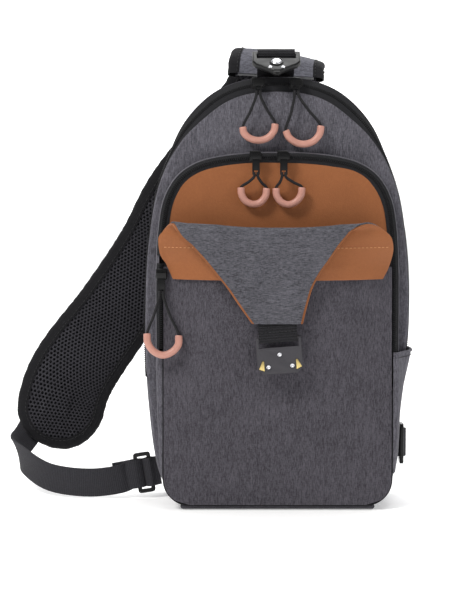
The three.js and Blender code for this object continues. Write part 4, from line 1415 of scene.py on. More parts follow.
@dataclass
class Flap:
    """The tan flap and its lining: sewn to the pocket's top, folded over and hanging to its tip."""

    heights: tuple[float, ...] = (197, 209, 222, 231, 238, 0, 0, 238, 227, 215, 202, 190, 176, 161)
    edges: tuple[Pair, ...] = (
        (-89, 89), (-94.5, 95), (-100.5, 97.5), (-101, 96), (-97, 90), (-92, 79), (-88, 68),
        (-84, 60), (-73, 51), (-62, 43), (-51.5, 34), (-42, 28), (-32.5, 24), (-22, 20.5),
    )
    outside: float = 1.4
    lining: float = 1.2
    lining_offset: float = 2.9
    lining_inset: float = 1.9
    tilt: float = math.radians(4.5)
    tongue_y: float = -62.4
    tip: float = 161.0

    def __post_init__(self) -> None:
        """Reads both edges as smooth lines."""
        self._left = Curve([(k, e[0], 0) for k, e in enumerate(self.edges)])
        self._right = Curve([(k, e[1], 0) for k, e in enumerate(self.edges)])

    def band_depth(self, x: float, z: float) -> float:
        """Depth of the band's inner face."""
        sewn = pocket_wall(x, min(z, PANEL_TOP)) - 3.4
        mouth = FOLD_Y + 7 + 10 * (abs(x) / 100) ** 4
        return lerp(sewn, min(sewn, mouth), smooth(z, PANEL_TOP, 237))

    def place(self, station: float, x: float, offset: float) -> Vector:
        """A point of the sheet, at an offset from its tan face towards its lining.

        Args:
            station: how far along the flap, in steps of its heights: sewn to 4, folded over to 7, then hanging.
            x: the place across the flap, in millimetres.
            offset: the distance from the tan face.

        Returns:
            The point in millimetres.
        """
        sag = 0.7 * ripple(Vector((x, station * 6, 0)), 22, 3.0)
        if station <= 4:
            k = min(3, int(station))
            z = lerp(self.heights[k], self.heights[k + 1], station - k)
            wave = sag * smooth(z, 200, 214) * (1 - smooth(z, 228, 238))
            return Vector((x, self.band_depth(x, z) - 2.2 + offset + wave * 0.8, z))
        if station < 7:
            turn = math.pi * (station - 4) / 3
            band = self.band_depth(x, 238) - 2.2
            centre, reach = (band - 65.0) / 2, (band + 65.0) / 2
            lift = min(reach, 4.2) + 2.2 * smooth(x, 66, 84) + 1.4 * smooth(-x, 74, 88)
            return Vector((x, centre + (reach + offset) * math.cos(turn),
                           238 + (lift + offset) * math.sin(turn)))
        k = min(12, int(station))
        z = lerp(self.heights[k], self.heights[k + 1], station - k)
        hang = lerp(FOLD_Y - 0.6, FOLD_Y + 1.2, smooth(241 - z, 34, 85))
        pleats = bump(x - (z - 205) * 0.16, -20, 10) + 0.8 * bump(x + (z - 205) * 0.1, 9, 9)
        wave = (sag + 5.0 * pleats * bump(z, 206, 24)) * smooth(238 - z, 4, 20)
        return Vector((x, hang - 0.4 - offset - max(-0.4, wave * 0.8) * (1 - smooth(238 - z, 60, 77)), z))

    def rows(self, offset: float, inset: float, steps: int = 7, columns: int = 60) -> list[list[Vector]]:
        """Rows of points across the sheet, from the sewn edge to the tip.

        Args:
            offset: the distance from the tan face, in millimetres.
            inset: how far in from the flap's sides the rows end.
            steps: the rows to a station.
            columns: the gaps across a row.

        Returns:
            The rows.
        """
        rows = []
        for k in range(13 * steps + 1):
            station = k / steps
            left = self._at(self._left, station) + inset
            right = self._at(self._right, station) - inset
            rows.append([self.place(station, lerp(left, right, c / columns), offset)
                         for c in range(columns + 1)])
        return rows

    @staticmethod
    def _at(line: Curve, station: float) -> float:
        """The edge's x at a station, read from its line.

        Args:
            line: the edge, with stations as its x and the edge's x as its y.
            station: how far along the flap.

        Returns:
            The place across the flap, in millimetres.
        """
        low = min(len(line.points) - 2, int(station / 13 * (len(line.points) - 1)))
        while low > 0 and line.points[low].x > station:
            low -= 1
        while low < len(line.points) - 2 and line.points[low + 1].x < station:
            low += 1
        a, b = line.points[low], line.points[low + 1]
        return lerp(a.y, b.y, (station - a.x) / max(1e-6, b.x - a.x))

    def tilted(self) -> Matrix:
        """The lean of the tongue about the flap's tip."""
        return (Matrix.Translation((0, 0, self.tip)) @ Matrix.Rotation(-self.tilt, 4, "Y")
                @ Matrix.Translation((0, 0, -self.tip)))

    def build(self) -> None:
        """Makes both sheets, their stitches, the tongue and its plate."""
        self._sheets()
        self._stitches()
        self._tongue()
        self._plate()
        LOG.info("flap: outside, lining, stitches, tongue and plate")

    @staticmethod
    def _across_fold(thing: Piece) -> None:
        """Bakes a piece's transform into its mesh."""
        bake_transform(thing)

    def _sheets(self) -> None:
        """The tan outside and the heather lining."""
        def outside_way(p: Vector) -> Vector:
            """The tan face looks forward where only the band is."""
            return Vector((0, -1, 0)) if abs(p.x) > 62 and p.z < 226 else Vector()

        rows = self.rows(0, 0)
        tan = grid("flap_outside", rows, outside_way)
        thicken(tan, self.outside)
        apply(tan, "BEVEL", width=0.4 * MM, segments=2, limit_method="ANGLE",
              angle_limit=math.radians(60))
        tan.data.materials.clear()
        tan.data.materials.append(Finishes.leather.material())
        choose(tan)
        bpy.ops.object.shade_smooth_by_angle(angle=math.radians(45))
        self._across_fold(tan)
        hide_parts("flap_band", "flap_shell")
        area = area_of(rows)
        rows = self.rows(self.lining_offset, self.lining_inset)
        lining = grid("flap_inside", rows, lambda p: outside_way(p) * -1)
        thicken(lining, self.lining)
        lining.data.materials.clear()
        lining.data.materials.append(Finishes.lining.material())
        choose(lining)
        bpy.ops.object.shade_smooth_by_angle(angle=math.radians(45))
        self._across_fold(lining)
        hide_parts("flap_lining")
        area_of(rows)

    def _stitches(self) -> None:
        """The row of thread along the band."""
        station = 2.25
        left, right = self._at(self._left, station) + 4, self._at(self._right, station) - 4
        line = [self.place(station, lerp(left, right, k / 60), -0.05) for k in range(61)]
        seam = stitch_row("flap_seam", line, toward(0, -1, 0), 2.4, 1.2, 0.3)
        dress(seam, Wear(Finishes.thread_tan))

    def _tongue(self) -> None:
        """The ribbed webbing that hangs from the tip and goes round the plate's bar."""
        y, top = self.tongue_y, 150.0
        reach = 3.8
        line = Curve([(0, y + 1.6, self.tip + 5), (0, y + 2.2, self.tip - 3), (0, y + reach, top + 2),
                      (0, y + reach, top - 2.6), (0, y, top - 4.6), (0, y - reach, top - 2.6),
                      (0, y - reach, top + 2), (0, y - 2.6, self.tip - 3), (0, y - 1.6, self.tip + 3)])
        rows = []
        for point in line.spread(60):
            half = 16.2
            rows.append([self.tilted() @ Vector((-1 + lerp(-half, half, c / 20), point.y, point.z))
                         for c in range(21)])
        made = grid("tongue_ribbed", rows, lambda p: Vector((0, p.y - y, p.z - 158)))
        thicken(made, 1.4)
        dress(made, Wear(Finishes.ribbed, "flap", ("tongue_webbing",)))
        line = [self.tilted() @ Vector((-1 + lerp(-15, 15, k / 20), y - 3.55, 154.6)) for k in range(21)]
        dress(stitch_row("tongue_stitches", line, toward(0, -1, 0), 2.2, 1.0, 0.35),
              Wear(Finishes.thread_black, "flap"))

    def _plate(self) -> None:
        """The dark plate with its rivets, inlaid arrows and magnet."""
        polished("tongue_plate", "plate", 0.5, Finishes.satin, "tongue")
        polished("plate_arrow_left", "arrow_left", 0.18, Finishes.brass, "tongue")
        polished("plate_arrow_right", "arrow_right", 0.18, Finishes.brass, "tongue")
        polished("plate_magnet", "plate_magnet_disc", 0.3, Finishes.steel, "tongue")
        onto = self.tilted() @ Matrix.Translation((-1, self.tongue_y - 2.3, 134.5))
        for number, (x, z) in enumerate(((0, 1), (-10, -9), (10, -9)), start=1):
            work = Workpiece(f"rivet_{number}", "cylinder", (3.5, 3.5, 1.5), radius=0.5, depth=1, vertices=28)
            work.pick(lambda place, normal: normal.z > 0.9).inset(0.6).inset(0.22, -0.5)
            work.bevel(0.16, 2)
            made = work.place(onto @ Matrix.Translation((x, -0.05, z)) @ Matrix.Rotation(math.pi / 2, 4, "X"))
            dress(made, Wear(Finishes.steel, "tongue", (f"plate_rivet_{number}",)))


# ---- the catch
@dataclass
class Catch:
    """The upper half of the clasp: a V-shaped body on a webbing loop."""

    x: float = -1.0
    y: float = -6.0
    z: float = 386.7
    lean: float = math.radians(-55)
    web: float = 32.0

    def _at(self, x: float, y: float, z: float) -> Matrix:
        """A place on the catch, drawn as if it hung upright from its bar."""
        return (Matrix.Translation((self.x, self.y, self.z)) @ Matrix.Rotation(self.lean, 4, "X")
                @ Matrix.Translation((x, y, z)))

    def build(self) -> None:
        """Makes the body, its dome, feet and tip, and the loop that holds it."""
        polished("catch_body", "catch_shell", 0.7, Finishes.gloss, "catch")
        polished("catch_magnet", "catch_magnet_disc", 0.3, Finishes.steel, "catch")
        work = Workpiece("catch_dome", "uv_sphere", (9.2, 9.2, 3.6), radius=0.5, segments=32, ring_count=16)
        work.pick(lambda place, normal: place.z < -0.3).resize(1, 1, 0.3)
        work.pick(lambda place, normal: place.z > 1.45).resize(1, 1, 0.97)
        made = work.place(self._at(0, -2.75, -14.4) @ Matrix.Rotation(math.pi / 2, 4, "X"))
        dress(made, Wear(Finishes.steel, "catch", ("catch_cap",), 60.0))
        rim = Workpiece("catch_dome_seat", "cylinder", (11.6, 11.6, 1.2), radius=0.5, depth=1, vertices=36)
        rim.pick(lambda place, normal: normal.z > 0.9).inset(1.0).inset(0.3, -0.4)
        rim.bevel(0.25, 2)
        made = rim.place(self._at(0, -2.9, -14.4) @ Matrix.Rotation(math.pi / 2, 4, "X"))
        dress(made, Wear(Finishes.gloss, "catch"))
        for name, x in (("catch_foot_left", -5.4), ("catch_foot_right", 5.4)):
            foot = Workpiece(name, "cube", (3.0, 2.2, 2.4), size=1)
            foot.pick(lambda place, normal: normal.y < -0.9).inset(0.5).extrude(0, -0.5, 0)
            foot.bevel(0.3, 2)
            dress(foot.place(self._at(x, -1.9, -22.6)), Wear(Finishes.steel, "catch"))
        tip = Workpiece("catch_tip", "cube", (5.6, 4.0, 3.4), size=1)
        tip.pick(lambda place, normal: normal.z < -0.9).inset(0.6).extrude(0, 0, -1.2).resize(0.7, 0.8, 1)
        tip.bevel(0.35, 2)
        dress(tip.place(self._at(0, 0, -27.4)), Wear(Finishes.gloss, "catch"))
        self._loop()
        LOG.info("catch: body, dome, feet, tip and loop")

    def _loop(self) -> None:
        """The webbing from the strap's root, round the catch's bar and back."""
        y, z, clear = self.y, self.z, 4.9
        line = Curve([
            (0, 35, 371.4), (0, 20, 376), (0, 6, 386.4), (0, y + 1, z + clear + 0.4),
            (0, y - clear * 0.74, z + clear * 0.74), (0, y - clear, z), (0, y - clear * 0.74, z - clear * 0.74),
            (0, y, z - clear), (0, 4, 377.6), (0, 17, 371.4), (0, 33, 369.3),
        ])
        rows = []
        for point in line.spread(70):
            rows.append([Vector((self.x + lerp(-self.web / 2, self.web / 2, c / 16), point.y, point.z))
                         for c in range(17)])
        made = grid("catch_loop", rows, lambda p: Vector((0, p.y - 10, (p.z - 375) * 3)))
        thicken(made, 1.4)
        dress(made, Wear(Finishes.ribbed, "bag", ("catch_webbing",)))


# ---- the zip pulls
@dataclass(frozen=True)
class PullPlan:
    """Where one slider sits, and the line of its bent sleeve from the tab's pin, x and z."""

    name: str
    slider: Place
    line: tuple[Pair, ...]
    slope: float
    start: float
    eye: float = -10.4


PULLS = (
    PullPlan("main_left", (-16.5, -13.4, 362.5), (
        (-13.1, -34), (-12.1, -39.1), (-6.5, -43.9), (1.5, -45.3), (9.1, -42.5), (13.5, -36.9), (14.5, -31.3)),
        0.06, -0.6, -3.4),
    PullPlan("main_right", (16, -13.4, 362.5), (
        (-9.1, -37.1), (-6.5, -42.5), (-0.5, -47.2), (7.5, -48.4), (15.1, -45.6), (19.9, -39.4), (20.9, -33)),
        0.06, -0.6, -3.4),
    PullPlan("arch_left", (-18.5, -29.8, 300.5), (
        (-12.6, -23), (-12.2, -29), (-8.6, -34.6), (-2.6, -37.2), (3.6, -35.6), (8, -30.2), (9, -23.6)),
        0.03, 1),
    PullPlan("arch_right", (5, -29.8, 300.5), (
        (-6.6, -23.6), (-5.8, -30.2), (-1.8, -35.6), (4.4, -37.4), (10.4, -35), (14.6, -29.4), (15.4, -23)),
        0.03, 1),
    PullPlan("side", (-98.6, -36.5, 200), (
        (-12, -45.4), (-11.4, -53), (-6.4, -60.4), (1.6, -63.6), (9.6, -60.6), (14.4, -54.6), (14.8, -47)),
        0.12, -1),
)


@dataclass
class Pull:
    """One slider with its tab, its looped cord and the bent rose sleeve on the cord."""

    plan: PullPlan
    cord_radius: float = 1.2
    sleeve_radius: float = 3.1

    def build(self) -> None:
        """Makes the cord first, then the pieces on it."""
        plan = self.plan
        pin = Vector((plan.slider[0], plan.slider[1] - 5.5, plan.slider[2] - 3.2))
        route = [Vector((x, z * plan.slope + plan.start, z)) for x, z in plan.line]
        front = -0.7 - self.cord_radius - 0.4
        legs = [(Vector((s * 1.5, front, plan.eye + 0.4)), Vector((s * 1.6, front, plan.eye - 3.4)))
                for s in (-1, 1)]
        bows = [legs[0][1].lerp(route[0], 0.5) + Vector((0.8, -0.5, 0)),
                legs[1][1].lerp(route[-1], 0.5) + Vector((-0.8, -0.5, 0))]
        knots = [legs[0][0], legs[0][1], bows[0], *route, bows[1], legs[1][1], legs[1][0]]
        points = [pin + p for p in Curve(knots).spread(90)]
        cord = tube(f"{plan.name}_loop", points, lambda _: self.cord_radius, 12, turn=1000.0)
        body = f"pull_{plan.name}"
        dress(cord, Wear(Finishes.cord, body, (f"{plan.name}_cord",), 60.0))
        sleeve = self._sleeve([pin + p for p in Curve(route).spread(60)])
        tab = polished(f"{plan.name}_tab", f"{plan.name}_puller", 0.3, Finishes.gloss, body)
        polished(f"{plan.name}_slider", f"{plan.name}_runner", 0.4, Finishes.gloss, f"slider_{plan.name}")
        length = sum((b - a).length for a, b in zip(points, points[1:]))
        tuple(points[0] * MM)
        [tuple(p * MM) for p in points]
        LOG.info("pull %s: cord of %.0f mm", plan.name, length)

    def _sleeve(self, points: list[Vector]) -> Piece:
        """The bent sleeve, its flat ends bored for the cord.

        Args:
            points: the sleeve's middle line, evenly spaced.

        Returns:
            The dressed piece.
        """
        bore, outer, last = self.cord_radius + 0.12, self.sleeve_radius, len(points) - 1
        lip = outer - 0.45
        order = [(4, bore), (0, bore), (0, bore + 0.5), (0, lip), (1, outer)]
        order += [(k, outer - 0.1 * math.sin(math.pi * k / last) ** 2) for k in range(3, last - 2)]
        order += [(last - 1, outer), (last, lip), (last, bore + 0.5), (last, bore), (last - 4, bore)]
        frames, side = [], None
        for k, point in enumerate(points):
            ahead = (points[min(k + 1, last)] - points[max(k - 1, 0)]).normalized()
            side = ahead.orthogonal() if side is None else side
            side = (side - ahead * side.dot(ahead)).normalized()
            frames.append((point, side.copy(), ahead.cross(side)))
        rings = []
        for k, reach in order:
            point, side, up = frames[k]
            rings.append([point + (side * math.cos(a) + up * math.sin(a)) * reach
                          for a in (2 * math.pi * i / 20 for i in range(20))])
        made = grid(f"{self.plan.name}_sleeve", rings, lambda _: Vector(), ring=True)
        work = bmesh.new()
        work.from_mesh(made.data)
        bmesh.ops.holes_fill(work, edges=[e for e in work.edges if e.is_boundary], sides=0)
        work.to_mesh(made.data)
        work.free()
        outwards(made)
        return dress(made, Wear(Finishes.grip, f"pull_{self.plan.name}", (f"{self.plan.name}_grip",), 50.0))


# ---- strips laid along a turning line
class Strip:
    """A surface laid along a line, its width turning from station to station."""

    def __init__(self, stations: Sequence[tuple[Place, Place]]) -> None:
        """Reads the middle line and the widths from (place, way across) pairs."""
        self.curve = Curve([place for place, _ in stations], fineness=60)
        self.widths = [Vector(way) for _, way in stations]
        self.length = self.curve.length

    def frame(self, share: float) -> tuple[Vector, Vector, Vector]:
        """The middle, the way across and the way out at a share of the length."""
        time = self.curve.time(share)
        k = min(int(time), len(self.widths) - 2)
        along = self.curve.along(share)
        across = self.widths[k].lerp(self.widths[k + 1], smooth(time - k, 0, 1))
        across = (across - along * across.dot(along)).normalized()
        return self.curve.at(share), across, along.cross(across)

    def point(self, share: float, across: float, out: float) -> Vector:
        """A point at a distance across the line and out of the surface."""
        middle, side, way = self.frame(share)
        return middle + side * across + way * out


# ---- the strap
@dataclass
class Strap:
    """The padded shoulder strap, its webbing and the rings at the bag's lower corners."""

    binding: float = 10.0
    thickness: float = 8.4
    end: float = 40.0
    web: float = 25.0
    hole: float = 3.5
    steps: int = 150
    left_bar: Place = (-110.6, 10, 23)
    right_bar: Place = (111.4, 31, 46)
    left_lean: float = -9.0

    def __post_init__(self) -> None:
        """Lays out the pad's line."""
        self.pad = Strip((
            ((0, 53, 372), (1, 0, 0)), ((1, 60, 384), (0.99, 0, -0.1)), ((4, 76, 391), (0.98, 0, -0.16)),
            ((3, 95, 382), (0.98, 0, -0.2)), ((-10, 105, 350), (0.95, 0, -0.3)),
            ((-38, 108, 314), (0.8, 0, -0.6)), ((-64, 109, 284), (0.78, 0, -0.62)),
            ((-85, 109, 256), (0.84, 0, -0.54)), ((-107, 109, 216), (0.87, 0, -0.49)),
            ((-146, 107, 157), (0.83, 0, -0.55)), ((-192, 101, 88), (0.93, 0, -0.36)),
            ((-203, 96, 29), (1, 0, 0)),
        ))

    def half(self, share: float) -> float:
        """Half the strap's width at a share of its length."""
        waist = 2.4 * math.sin(math.pi * smooth(share, 0.35, 0.9))
        return 39 + 4 * (1 - smooth(share, 0, 0.2)) + 1.4 * smooth(share, 0.6, 0.9) - waist

    def dome(self, share: float, across: float) -> float:
        """How far the padding swells in the middle."""
        core = max(1.0, self.half(share) - self.binding)
        full = max(0.0, 1 - (abs(across) / core) ** 2.4)
        past = smooth(share * self.pad.length, self.pad.length - 34, self.pad.length - 8)
        down = (share - 0.91) * self.pad.length
        box = min(1 - abs(across + 4) / 14, 1 - abs(down) / 14)
        return 1.9 * full * (1 - past) * smooth(share, 0, 0.06) + 1.9 * smooth(box, 0, 0.26)

    def rim_half(self, share: float) -> float:
        """Half the width inside the binding, narrowing round the end."""
        inset = self.binding - 1.0
        start = 1 - self.end / self.pad.length
        past = max(0.0, (share - start) / (1 - start - inset / self.pad.length))
        return max(2.0, (self.half(share) - inset) * math.sqrt(max(0.0, 1 - min(1.0, past) ** 2)))

    def root(self, thing: Piece) -> None:
        """Bakes a piece's transform into its mesh."""
        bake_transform(thing)

    def finish(self, thing: Piece, finish: Finish, nodes: tuple[str, ...] = (),
               angle: float = 40.0) -> Piece:
        """Dresses a piece of the strap and bakes its transform.

        Args:
            thing: the finished mesh.
            finish: its finish.
            nodes: the nodes that it stands for.
            angle: the sharpest angle, in degrees, that is still shaded smooth.

        Returns:
            The same piece.
        """
        clothe(thing, finish, angle)
        self.root(thing)
        if nodes:
            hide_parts(*nodes)
        return thing

    def build(self) -> None:
        """Makes every piece of the strap."""
        self._cover()
        self._foam()
        self._mesh()
        self._binding()
        self._webbing()
        self._rings()
        self._yoke()
        LOG.info("strap: cover, foam, mesh, binding, webbing, rings and yoke")

    def _layer(self, name: str, out: Callable[[float, float], float], sign: float) -> Piece:
        """Makes one face of the pad at a height that out gives.

        Args:
            name: the piece's name.
            out: the height for a share of the length and a distance across.
            sign: 1 where the face looks out of the strip, -1 where it looks back.

        Returns:
            The new face, one face thick.
        """
        stop = 1 - (self.binding - 1.0) / self.pad.length
        rows, ways = [], []
        for k in range(self.steps + 1):
            share = stop * k / self.steps
            middle, side, normal = self.pad.frame(share)
            limit = self.rim_half(share)
            row = []
            for c in range(25):
                across = lerp(-limit, limit, c / 24)
                row.append(middle + side * across + normal * out(share, across))
            rows.append(row)
            ways.append(normal * sign)
        return grid(name, rows, nearest([row[12] for row in rows], ways))

    def _cover(self) -> None:
        """The heather outer face."""
        made = self._layer("strap_outside", lambda u, v: -0.4 - self.dome(u, v)
                           - 0.5 * ripple(self.pad.point(u, v, 0), 30, 2.0), -1)
        thicken(made, 1.4)
        self.finish(made, Finishes.strap, ("strap_cover",))

    def _foam(self) -> None:
        """The foam between the two faces."""
        made = self._layer("strap_filling", lambda u, v: 4.8 + self.dome(u, v) * 0.7, 1)
        thicken(made, 3.4)
        self.finish(made, Finishes.foam, ("strap_foam",))

    def _mesh(self) -> None:
        """The spacer mesh: a knitted face with a real hollow in every cell."""
        pitch, length = self.hole, self.pad.length
        row_gap = pitch * math.sqrt(3) / 2
        stop = length - self.binding + 3
        points: list[Vector] = []
        faces: list[tuple[int, ...]] = []
        known: dict[tuple[int, int], int] = {}
        frames: dict[int, tuple[Vector, Vector, Vector]] = {}

        def locate(s: float, v: float, out: float) -> Vector:
            """A point of the mesh's face at a distance along and across."""
            key = round(s * 4)
            if key not in frames:
                frames[key] = self.pad.frame(min(1.0, key / 4 / length))
            middle, side, normal = frames[key]
            knit = 0.25 * ripple(Vector((s, v, 0)), 9, 6.0)
            return middle + side * v + normal * (out + self.dome(s / length, v) + knit)

        def corner(s: float, v: float) -> int:
            """A raised corner, shared by the cells round it."""
            key = (round(s * 10), round(v * 10))
            if key not in known:
                known[key] = len(points)
                points.append(locate(s, v, 8.5))
            return known[key]

        for r in range(int(stop / row_gap)):
            s = (r + 0.5) * row_gap
            limit = self.rim_half(min(1.0, s / length)) + 1.6
            shift = pitch / 2 if r % 2 else 0.0
            for c in range(-int(limit / pitch) - 1, int(limit / pitch) + 2):
                v = c * pitch + shift
                if abs(v) > limit:
                    continue
                ring = [math.pi / 3 * k + math.pi / 6 for k in range(6)]
                size = pitch / math.sqrt(3)
                top = [corner(s + size * math.sin(a), v + size * math.cos(a)) for a in ring]
                start = len(points)
                for reach, out in ((size * 0.66, 8.3), (size * 0.56, 5.2)):
                    points += [locate(s + reach * math.sin(a), v + reach * math.cos(a), out) for a in ring]
                for k in range(6):
                    n = (k + 1) % 6
                    faces.append((top[k], top[n], start + n, start + k))
                    faces.append((start + k, start + n, start + 6 + n, start + 6 + k))
                faces.append(tuple(start + 6 + k for k in range(6)))
        made = from_parts("strap_spacer", points, faces)
        score = sum((points[f[1]] - points[f[0]]).cross(points[f[2]] - points[f[0]])
                    .dot(self.pad.frame(0.5)[2]) for f in faces[12::13][len(faces) // 39: len(faces) // 20])
        if score < 0:
            made.data.flip_normals()
        self.finish(made, Finishes.mesh, ("strap_mesh",), 60.0)

    def _binding_line(self, reach: float, out: float, count: int = 130) -> list[Vector]:
        """The line of the binding at a reach in from the edge: down, round the end and up.

        Args:
            reach: how far in from the pad's edge, in millimetres.
            out: how far out of the pad's surface.
            count: the points down each side.

        Returns:
            The line's points.
        """
        start = 1 - self.end / self.pad.length
        places = [(lerp(0, start, k / count), -1.0, 0.0) for k in range(count)]
        places += [(start, -math.cos(math.pi * k / 40), math.sin(math.pi * k / 40)) for k in range(41)]
        places += [(lerp(start, 0, (k + 1) / count), 1.0, 0.0) for k in range(count)]
        line = []
        for share, sideways, endways in places:
            radius = (self.end - reach) / self.pad.length
            line.append(self.pad.point(min(1.0, share + endways * radius),
                                       sideways * (self.half(share) - reach), out))
        return line

    def _binding(self) -> None:
        """The black binding, folded round the pad's edge and stitched through."""
        section = []
        for step in range(17):
            turn = math.pi * step / 16
            away = 1 - math.sin(turn) ** 0.55
            section.append((self.binding * away if step not in (0, 16) else self.binding,
                            4.2 + 5.0 * math.cos(turn) * (0.86 if 0 < step < 16 else 1.0)))
        lines = [self._binding_line(reach, out) for reach, out in section]
        rows = [list(row) for row in zip(*lines)]
        for k, row in enumerate(rows):
            for c in range(3, 14):
                middle = (row[0] + row[-1]) / 2
                row[c] += (row[c] - middle).normalized() * 0.22 * math.sin(k * 1.9 + 2 * math.sin(k * 0.31))
        centre = [(row[0] + row[-1]) / 2 for row in rows]
        made = grid("strap_edge", rows, lambda p: p - min(centre, key=lambda q: (q - p).length_squared))
        thicken(made, 0.9)
        self.finish(made, Finishes.binding, ("strap_binding",))
        frames = [self.pad.frame(k / 60) for k in range(61)]
        for name, out, sign in (("strap_edge_stitches", 9.15, 1), ("strap_edge_stitches_back", -0.75, -1)):
            out_of = nearest([frame[0] for frame in frames], [frame[2] * sign for frame in frames])
            seam = stitch_row(name, self._binding_line(8.2, out), out_of, 2.6, 1.2, 0.34)
            self.finish(seam, Finishes.thread_black)

    def _webbing(self) -> None:
        """The webbing from the pad's end to the ring, and its loop round the ring's bar."""
        strip = Strip((
            ((-203, 105.6, 104), (0.95, 0, -0.3)), ((-217, 103, 66), (0.9, 0, -0.43)),
            ((-229, 101, 42), (0.75, -0.25, -0.6)), ((-237, 80, 31), (0.35, -0.3, -0.88)),
            ((-226, 46, 25), (0.05, -0.1, -0.99)), ((-200, 17, 16), (0, 0, -1)),
            ((-163, 5, 13.6), (0, 0, -1)), ((-136, 5.4, 17), (0.12, 0, -0.99)),
            ((-130, 8.2, 19), (0.17, 0, -0.98)),
        ))
        rows = []
        for k in range(171):
            share = k / 170
            middle, side, normal = strip.frame(share)
            rows.append([middle + side * v + normal * 0.35 * math.cos(math.pi * v / self.web)
                         for v in (lerp(-self.web / 2, self.web / 2, c / 12) for c in range(13))])
        made = grid("strap_web", rows, lambda p: Vector((0, -1, 0)) if p.y < 60 else Vector((0, 0, 0)))
        thicken(made, 1.4)
        apply(made, "BEVEL", width=0.35 * MM, segments=2, limit_method="ANGLE", angle_limit=math.radians(60))
        dress(made, Wear(Finishes.webbing, "strap", ("strap_webbing",)))
        self._loop("strap_web_loop", 21, self.web, self._left_place() @ Matrix.Translation((-11.8, 0, 0))
                   @ Matrix.Rotation(math.pi, 4, "Z"), "strap", ())

    def _left_place(self) -> Matrix:
        """Where the left ring's inner bar is, with its lean."""
        return Matrix.Translation(self.left_bar) @ Matrix.Rotation(math.radians(self.left_lean), 4, "Y")

    def _loop(self, name: str, reach: float, width: float, place: Matrix, body: str,
              nodes: tuple[str, ...]) -> None:
        """Makes a tab of webbing that goes out over a ring's bar and comes back.

        Args:
            name: the piece's name.
            reach: how far it runs from the bar, in millimetres.
            width: the webbing's width.
            place: where the bar is, with the tab running towards +X.
            body: the body that it rides on.
            nodes: the nodes that it stands for.
        """
        clear = 1.7 + 0.6 + 2.6
        line = Curve([(reach, -1, 0), (reach / 2, -2.2, 0), (0, -clear, 0), (-clear - 1.25, 0, 0),
                      (0, clear, 0), (reach / 2, 2.2, 0), (reach, 1, 0)])
        rows = [[place @ Vector((p.x, p.y, lerp(-width / 2, width / 2, c / 12))) for c in range(13)]
                for p in line.spread(50)]
        middle = place @ Vector((reach / 3, 0, 0))
        made = grid(name, rows, lambda p: Vector((p.x - middle.x, p.y - middle.y, 0)))
        thicken(made, 1.2)
        dress(made, Wear(Finishes.webbing, body, nodes))

    def _rings(self) -> None:
        """The two rings and the tabs that hold them."""
        polished("ring_left", "ring_lower_left", 0.5, Finishes.gloss, "ring_left")
        polished("ring_right", "ring_lower_right", 0.5, Finishes.gloss, "ring_right")
        right = Matrix.Translation(self.right_bar) @ Matrix.Rotation(math.pi / 2, 4, "Z")
        self._loop("tab_left", 8, self.web, self._left_place(), "bag", ("ring_tab_left",))
        self._loop("tab_right", 9, self.web, right, "bag", ("ring_tab_right",))

    def _yoke(self) -> None:
        """The strap's sewn end on the back."""
        rows = []
        for r in range(25):
            z = lerp(316, 363, r / 24)
            half = lerp(57, 43, smooth(z, 330, 363))
            row = []
            for c in range(31):
                x = lerp(-half, half, c / 30)
                swell = 2.0 * math.cos(math.pi / 2 * min(1, abs(x) / half)) ** 0.4
                row.append(Vector((x, BACK_Y + 4.2 + swell, z)))
            rows.append(row)
        made = grid("yoke", rows, toward(0, 1, 0))
        thicken(made, 4.0)
        dress(made, Wear(Finishes.binding, "bag", ("strap_yoke",)))
        line = [rows[3][c] + Vector((0, 0.1, 0)) for c in range(2, 29)]
        dress(stitch_row("yoke_stitches", line, toward(0, 1, 0), 2.6, 1.2, 0.36), Wear(Finishes.thread_black))


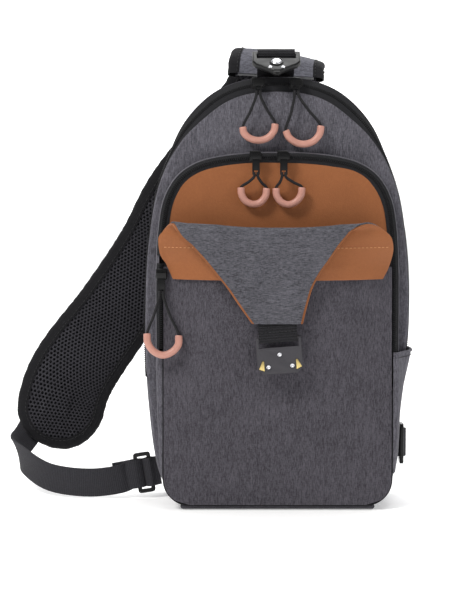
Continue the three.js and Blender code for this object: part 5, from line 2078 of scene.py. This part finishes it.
# ---- the set
@dataclass
class Studio:
    """The pale floor, the soft lights and the camera."""

    camera: Place = (-0.035, -1.594, 0.315)
    tilt: float = math.radians(85)
    lens: float = 110.34

    def place_camera(self) -> None:
        """Adds the camera at the viewing angle."""
        data = bpy.data.cameras.new("camera")
        data.lens = self.lens
        data.sensor_width = 36
        data.sensor_fit = "AUTO"
        thing = bpy.data.objects.new("camera", data)
        thing.location = self.camera
        thing.rotation_euler = (self.tilt, 0, 0)
        bpy.context.scene.collection.objects.link(thing)
        bpy.context.scene.camera = thing

    def _light(self, name: str, spot: Place, target: Place, size: float, power: float, warm: Place) -> None:
        """Adds a soft square light that looks at a point.

        Args:
            name: the light's name.
            spot: where it stands, in metres.
            target: where it looks.
            size: the length of its side.
            power: its power in watts.
            warm: its colour.
        """
        data = bpy.data.lights.new(name, "AREA")
        data.size = size
        data.energy = power
        data.color = warm
        thing = bpy.data.objects.new(name, data)
        thing.location = spot
        thing.rotation_euler = (Vector(target) - Vector(spot)).to_track_quat("-Z", "Y").to_euler()
        bpy.context.scene.collection.objects.link(thing)

    def build(self) -> None:
        """Adds the floor, the lights and the even surroundings."""
        bpy.context.scene.view_settings.view_transform = "Standard"
        mesh = bpy.data.meshes.new("floor")
        mesh.from_pydata([(-9, -9, -0.0006), (9, -9, -0.0006), (9, 5, -0.0006), (-9, 5, -0.0006)], [],
                         [(0, 1, 2, 3)])
        floor = link("floor", mesh)
        shader = Shader("pale_floor")
        tone = shader.noise(shader.place((3, 3, 3)), 2.0)
        colour = tone.mix((0.9, 0.9, 0.9), (0.93, 0.93, 0.93))
        shader.feed(shader.surface.inputs["Emission Color"], colour)
        mesh.materials.append(shader.finish(colour, 0.9, Emission_Strength=0.3))
        mesh = bpy.data.meshes.new("backdrop")
        mesh.from_pydata([(-9, 5, -0.01), (9, 5, -0.01), (9, 5, 7), (-9, 5, 7)], [], [(0, 1, 2, 3)])
        backdrop = link("backdrop", mesh)
        shader = Shader("lit_backdrop")
        glow = shader.noise(shader.place((0.5, 0.5, 0.5)), 1.0) * 0.01 + 1.0
        colour = glow.mix((1, 1, 1), (1, 1, 1))
        shader.feed(shader.surface.inputs["Emission Color"], colour)
        mesh.materials.append(shader.finish((0.9, 0.9, 0.9), 0.9, Emission_Strength=1.0))
        world = bpy.data.worlds.new("surroundings")
        world.use_nodes = True
        world.node_tree.nodes["Background"].inputs[0].default_value = (1, 1, 1, 1)
        world.node_tree.nodes["Background"].inputs[1].default_value = 0.36
        bpy.context.scene.world = world
        self._light("key", (-1.2, -1.2, 1.9), (0, 0, 0.2), 0.6, 36, (1, 0.99, 0.97))
        self._light("fill", (1.6, -1.2, 0.9), (0, 0, 0.2), 1.0, 6, (0.97, 0.98, 1))
        self._light("top", (0.1, 0.3, 1.9), (0, 0, 0.2), 1.2, 16, (1, 1, 1))
        self._light("back", (0.3, 1.7, 1.4), (0, 0, 0.25), 1.2, 16, (1, 1, 1))


def main() -> None:
    """Builds the bag piece by piece and reports each part."""
    logging.basicConfig(level=logging.INFO, format="%(name)s: %(message)s")
    studio = Studio()
    studio.place_camera()
    for plan in PULLS:
        Pull(plan).build()
    MainCompartment().build()
    FrontCompartment().build()
    Flap().build()
    Catch().build()
    Strap().build()
    studio.build()


if __name__ == "__main__":
    main()
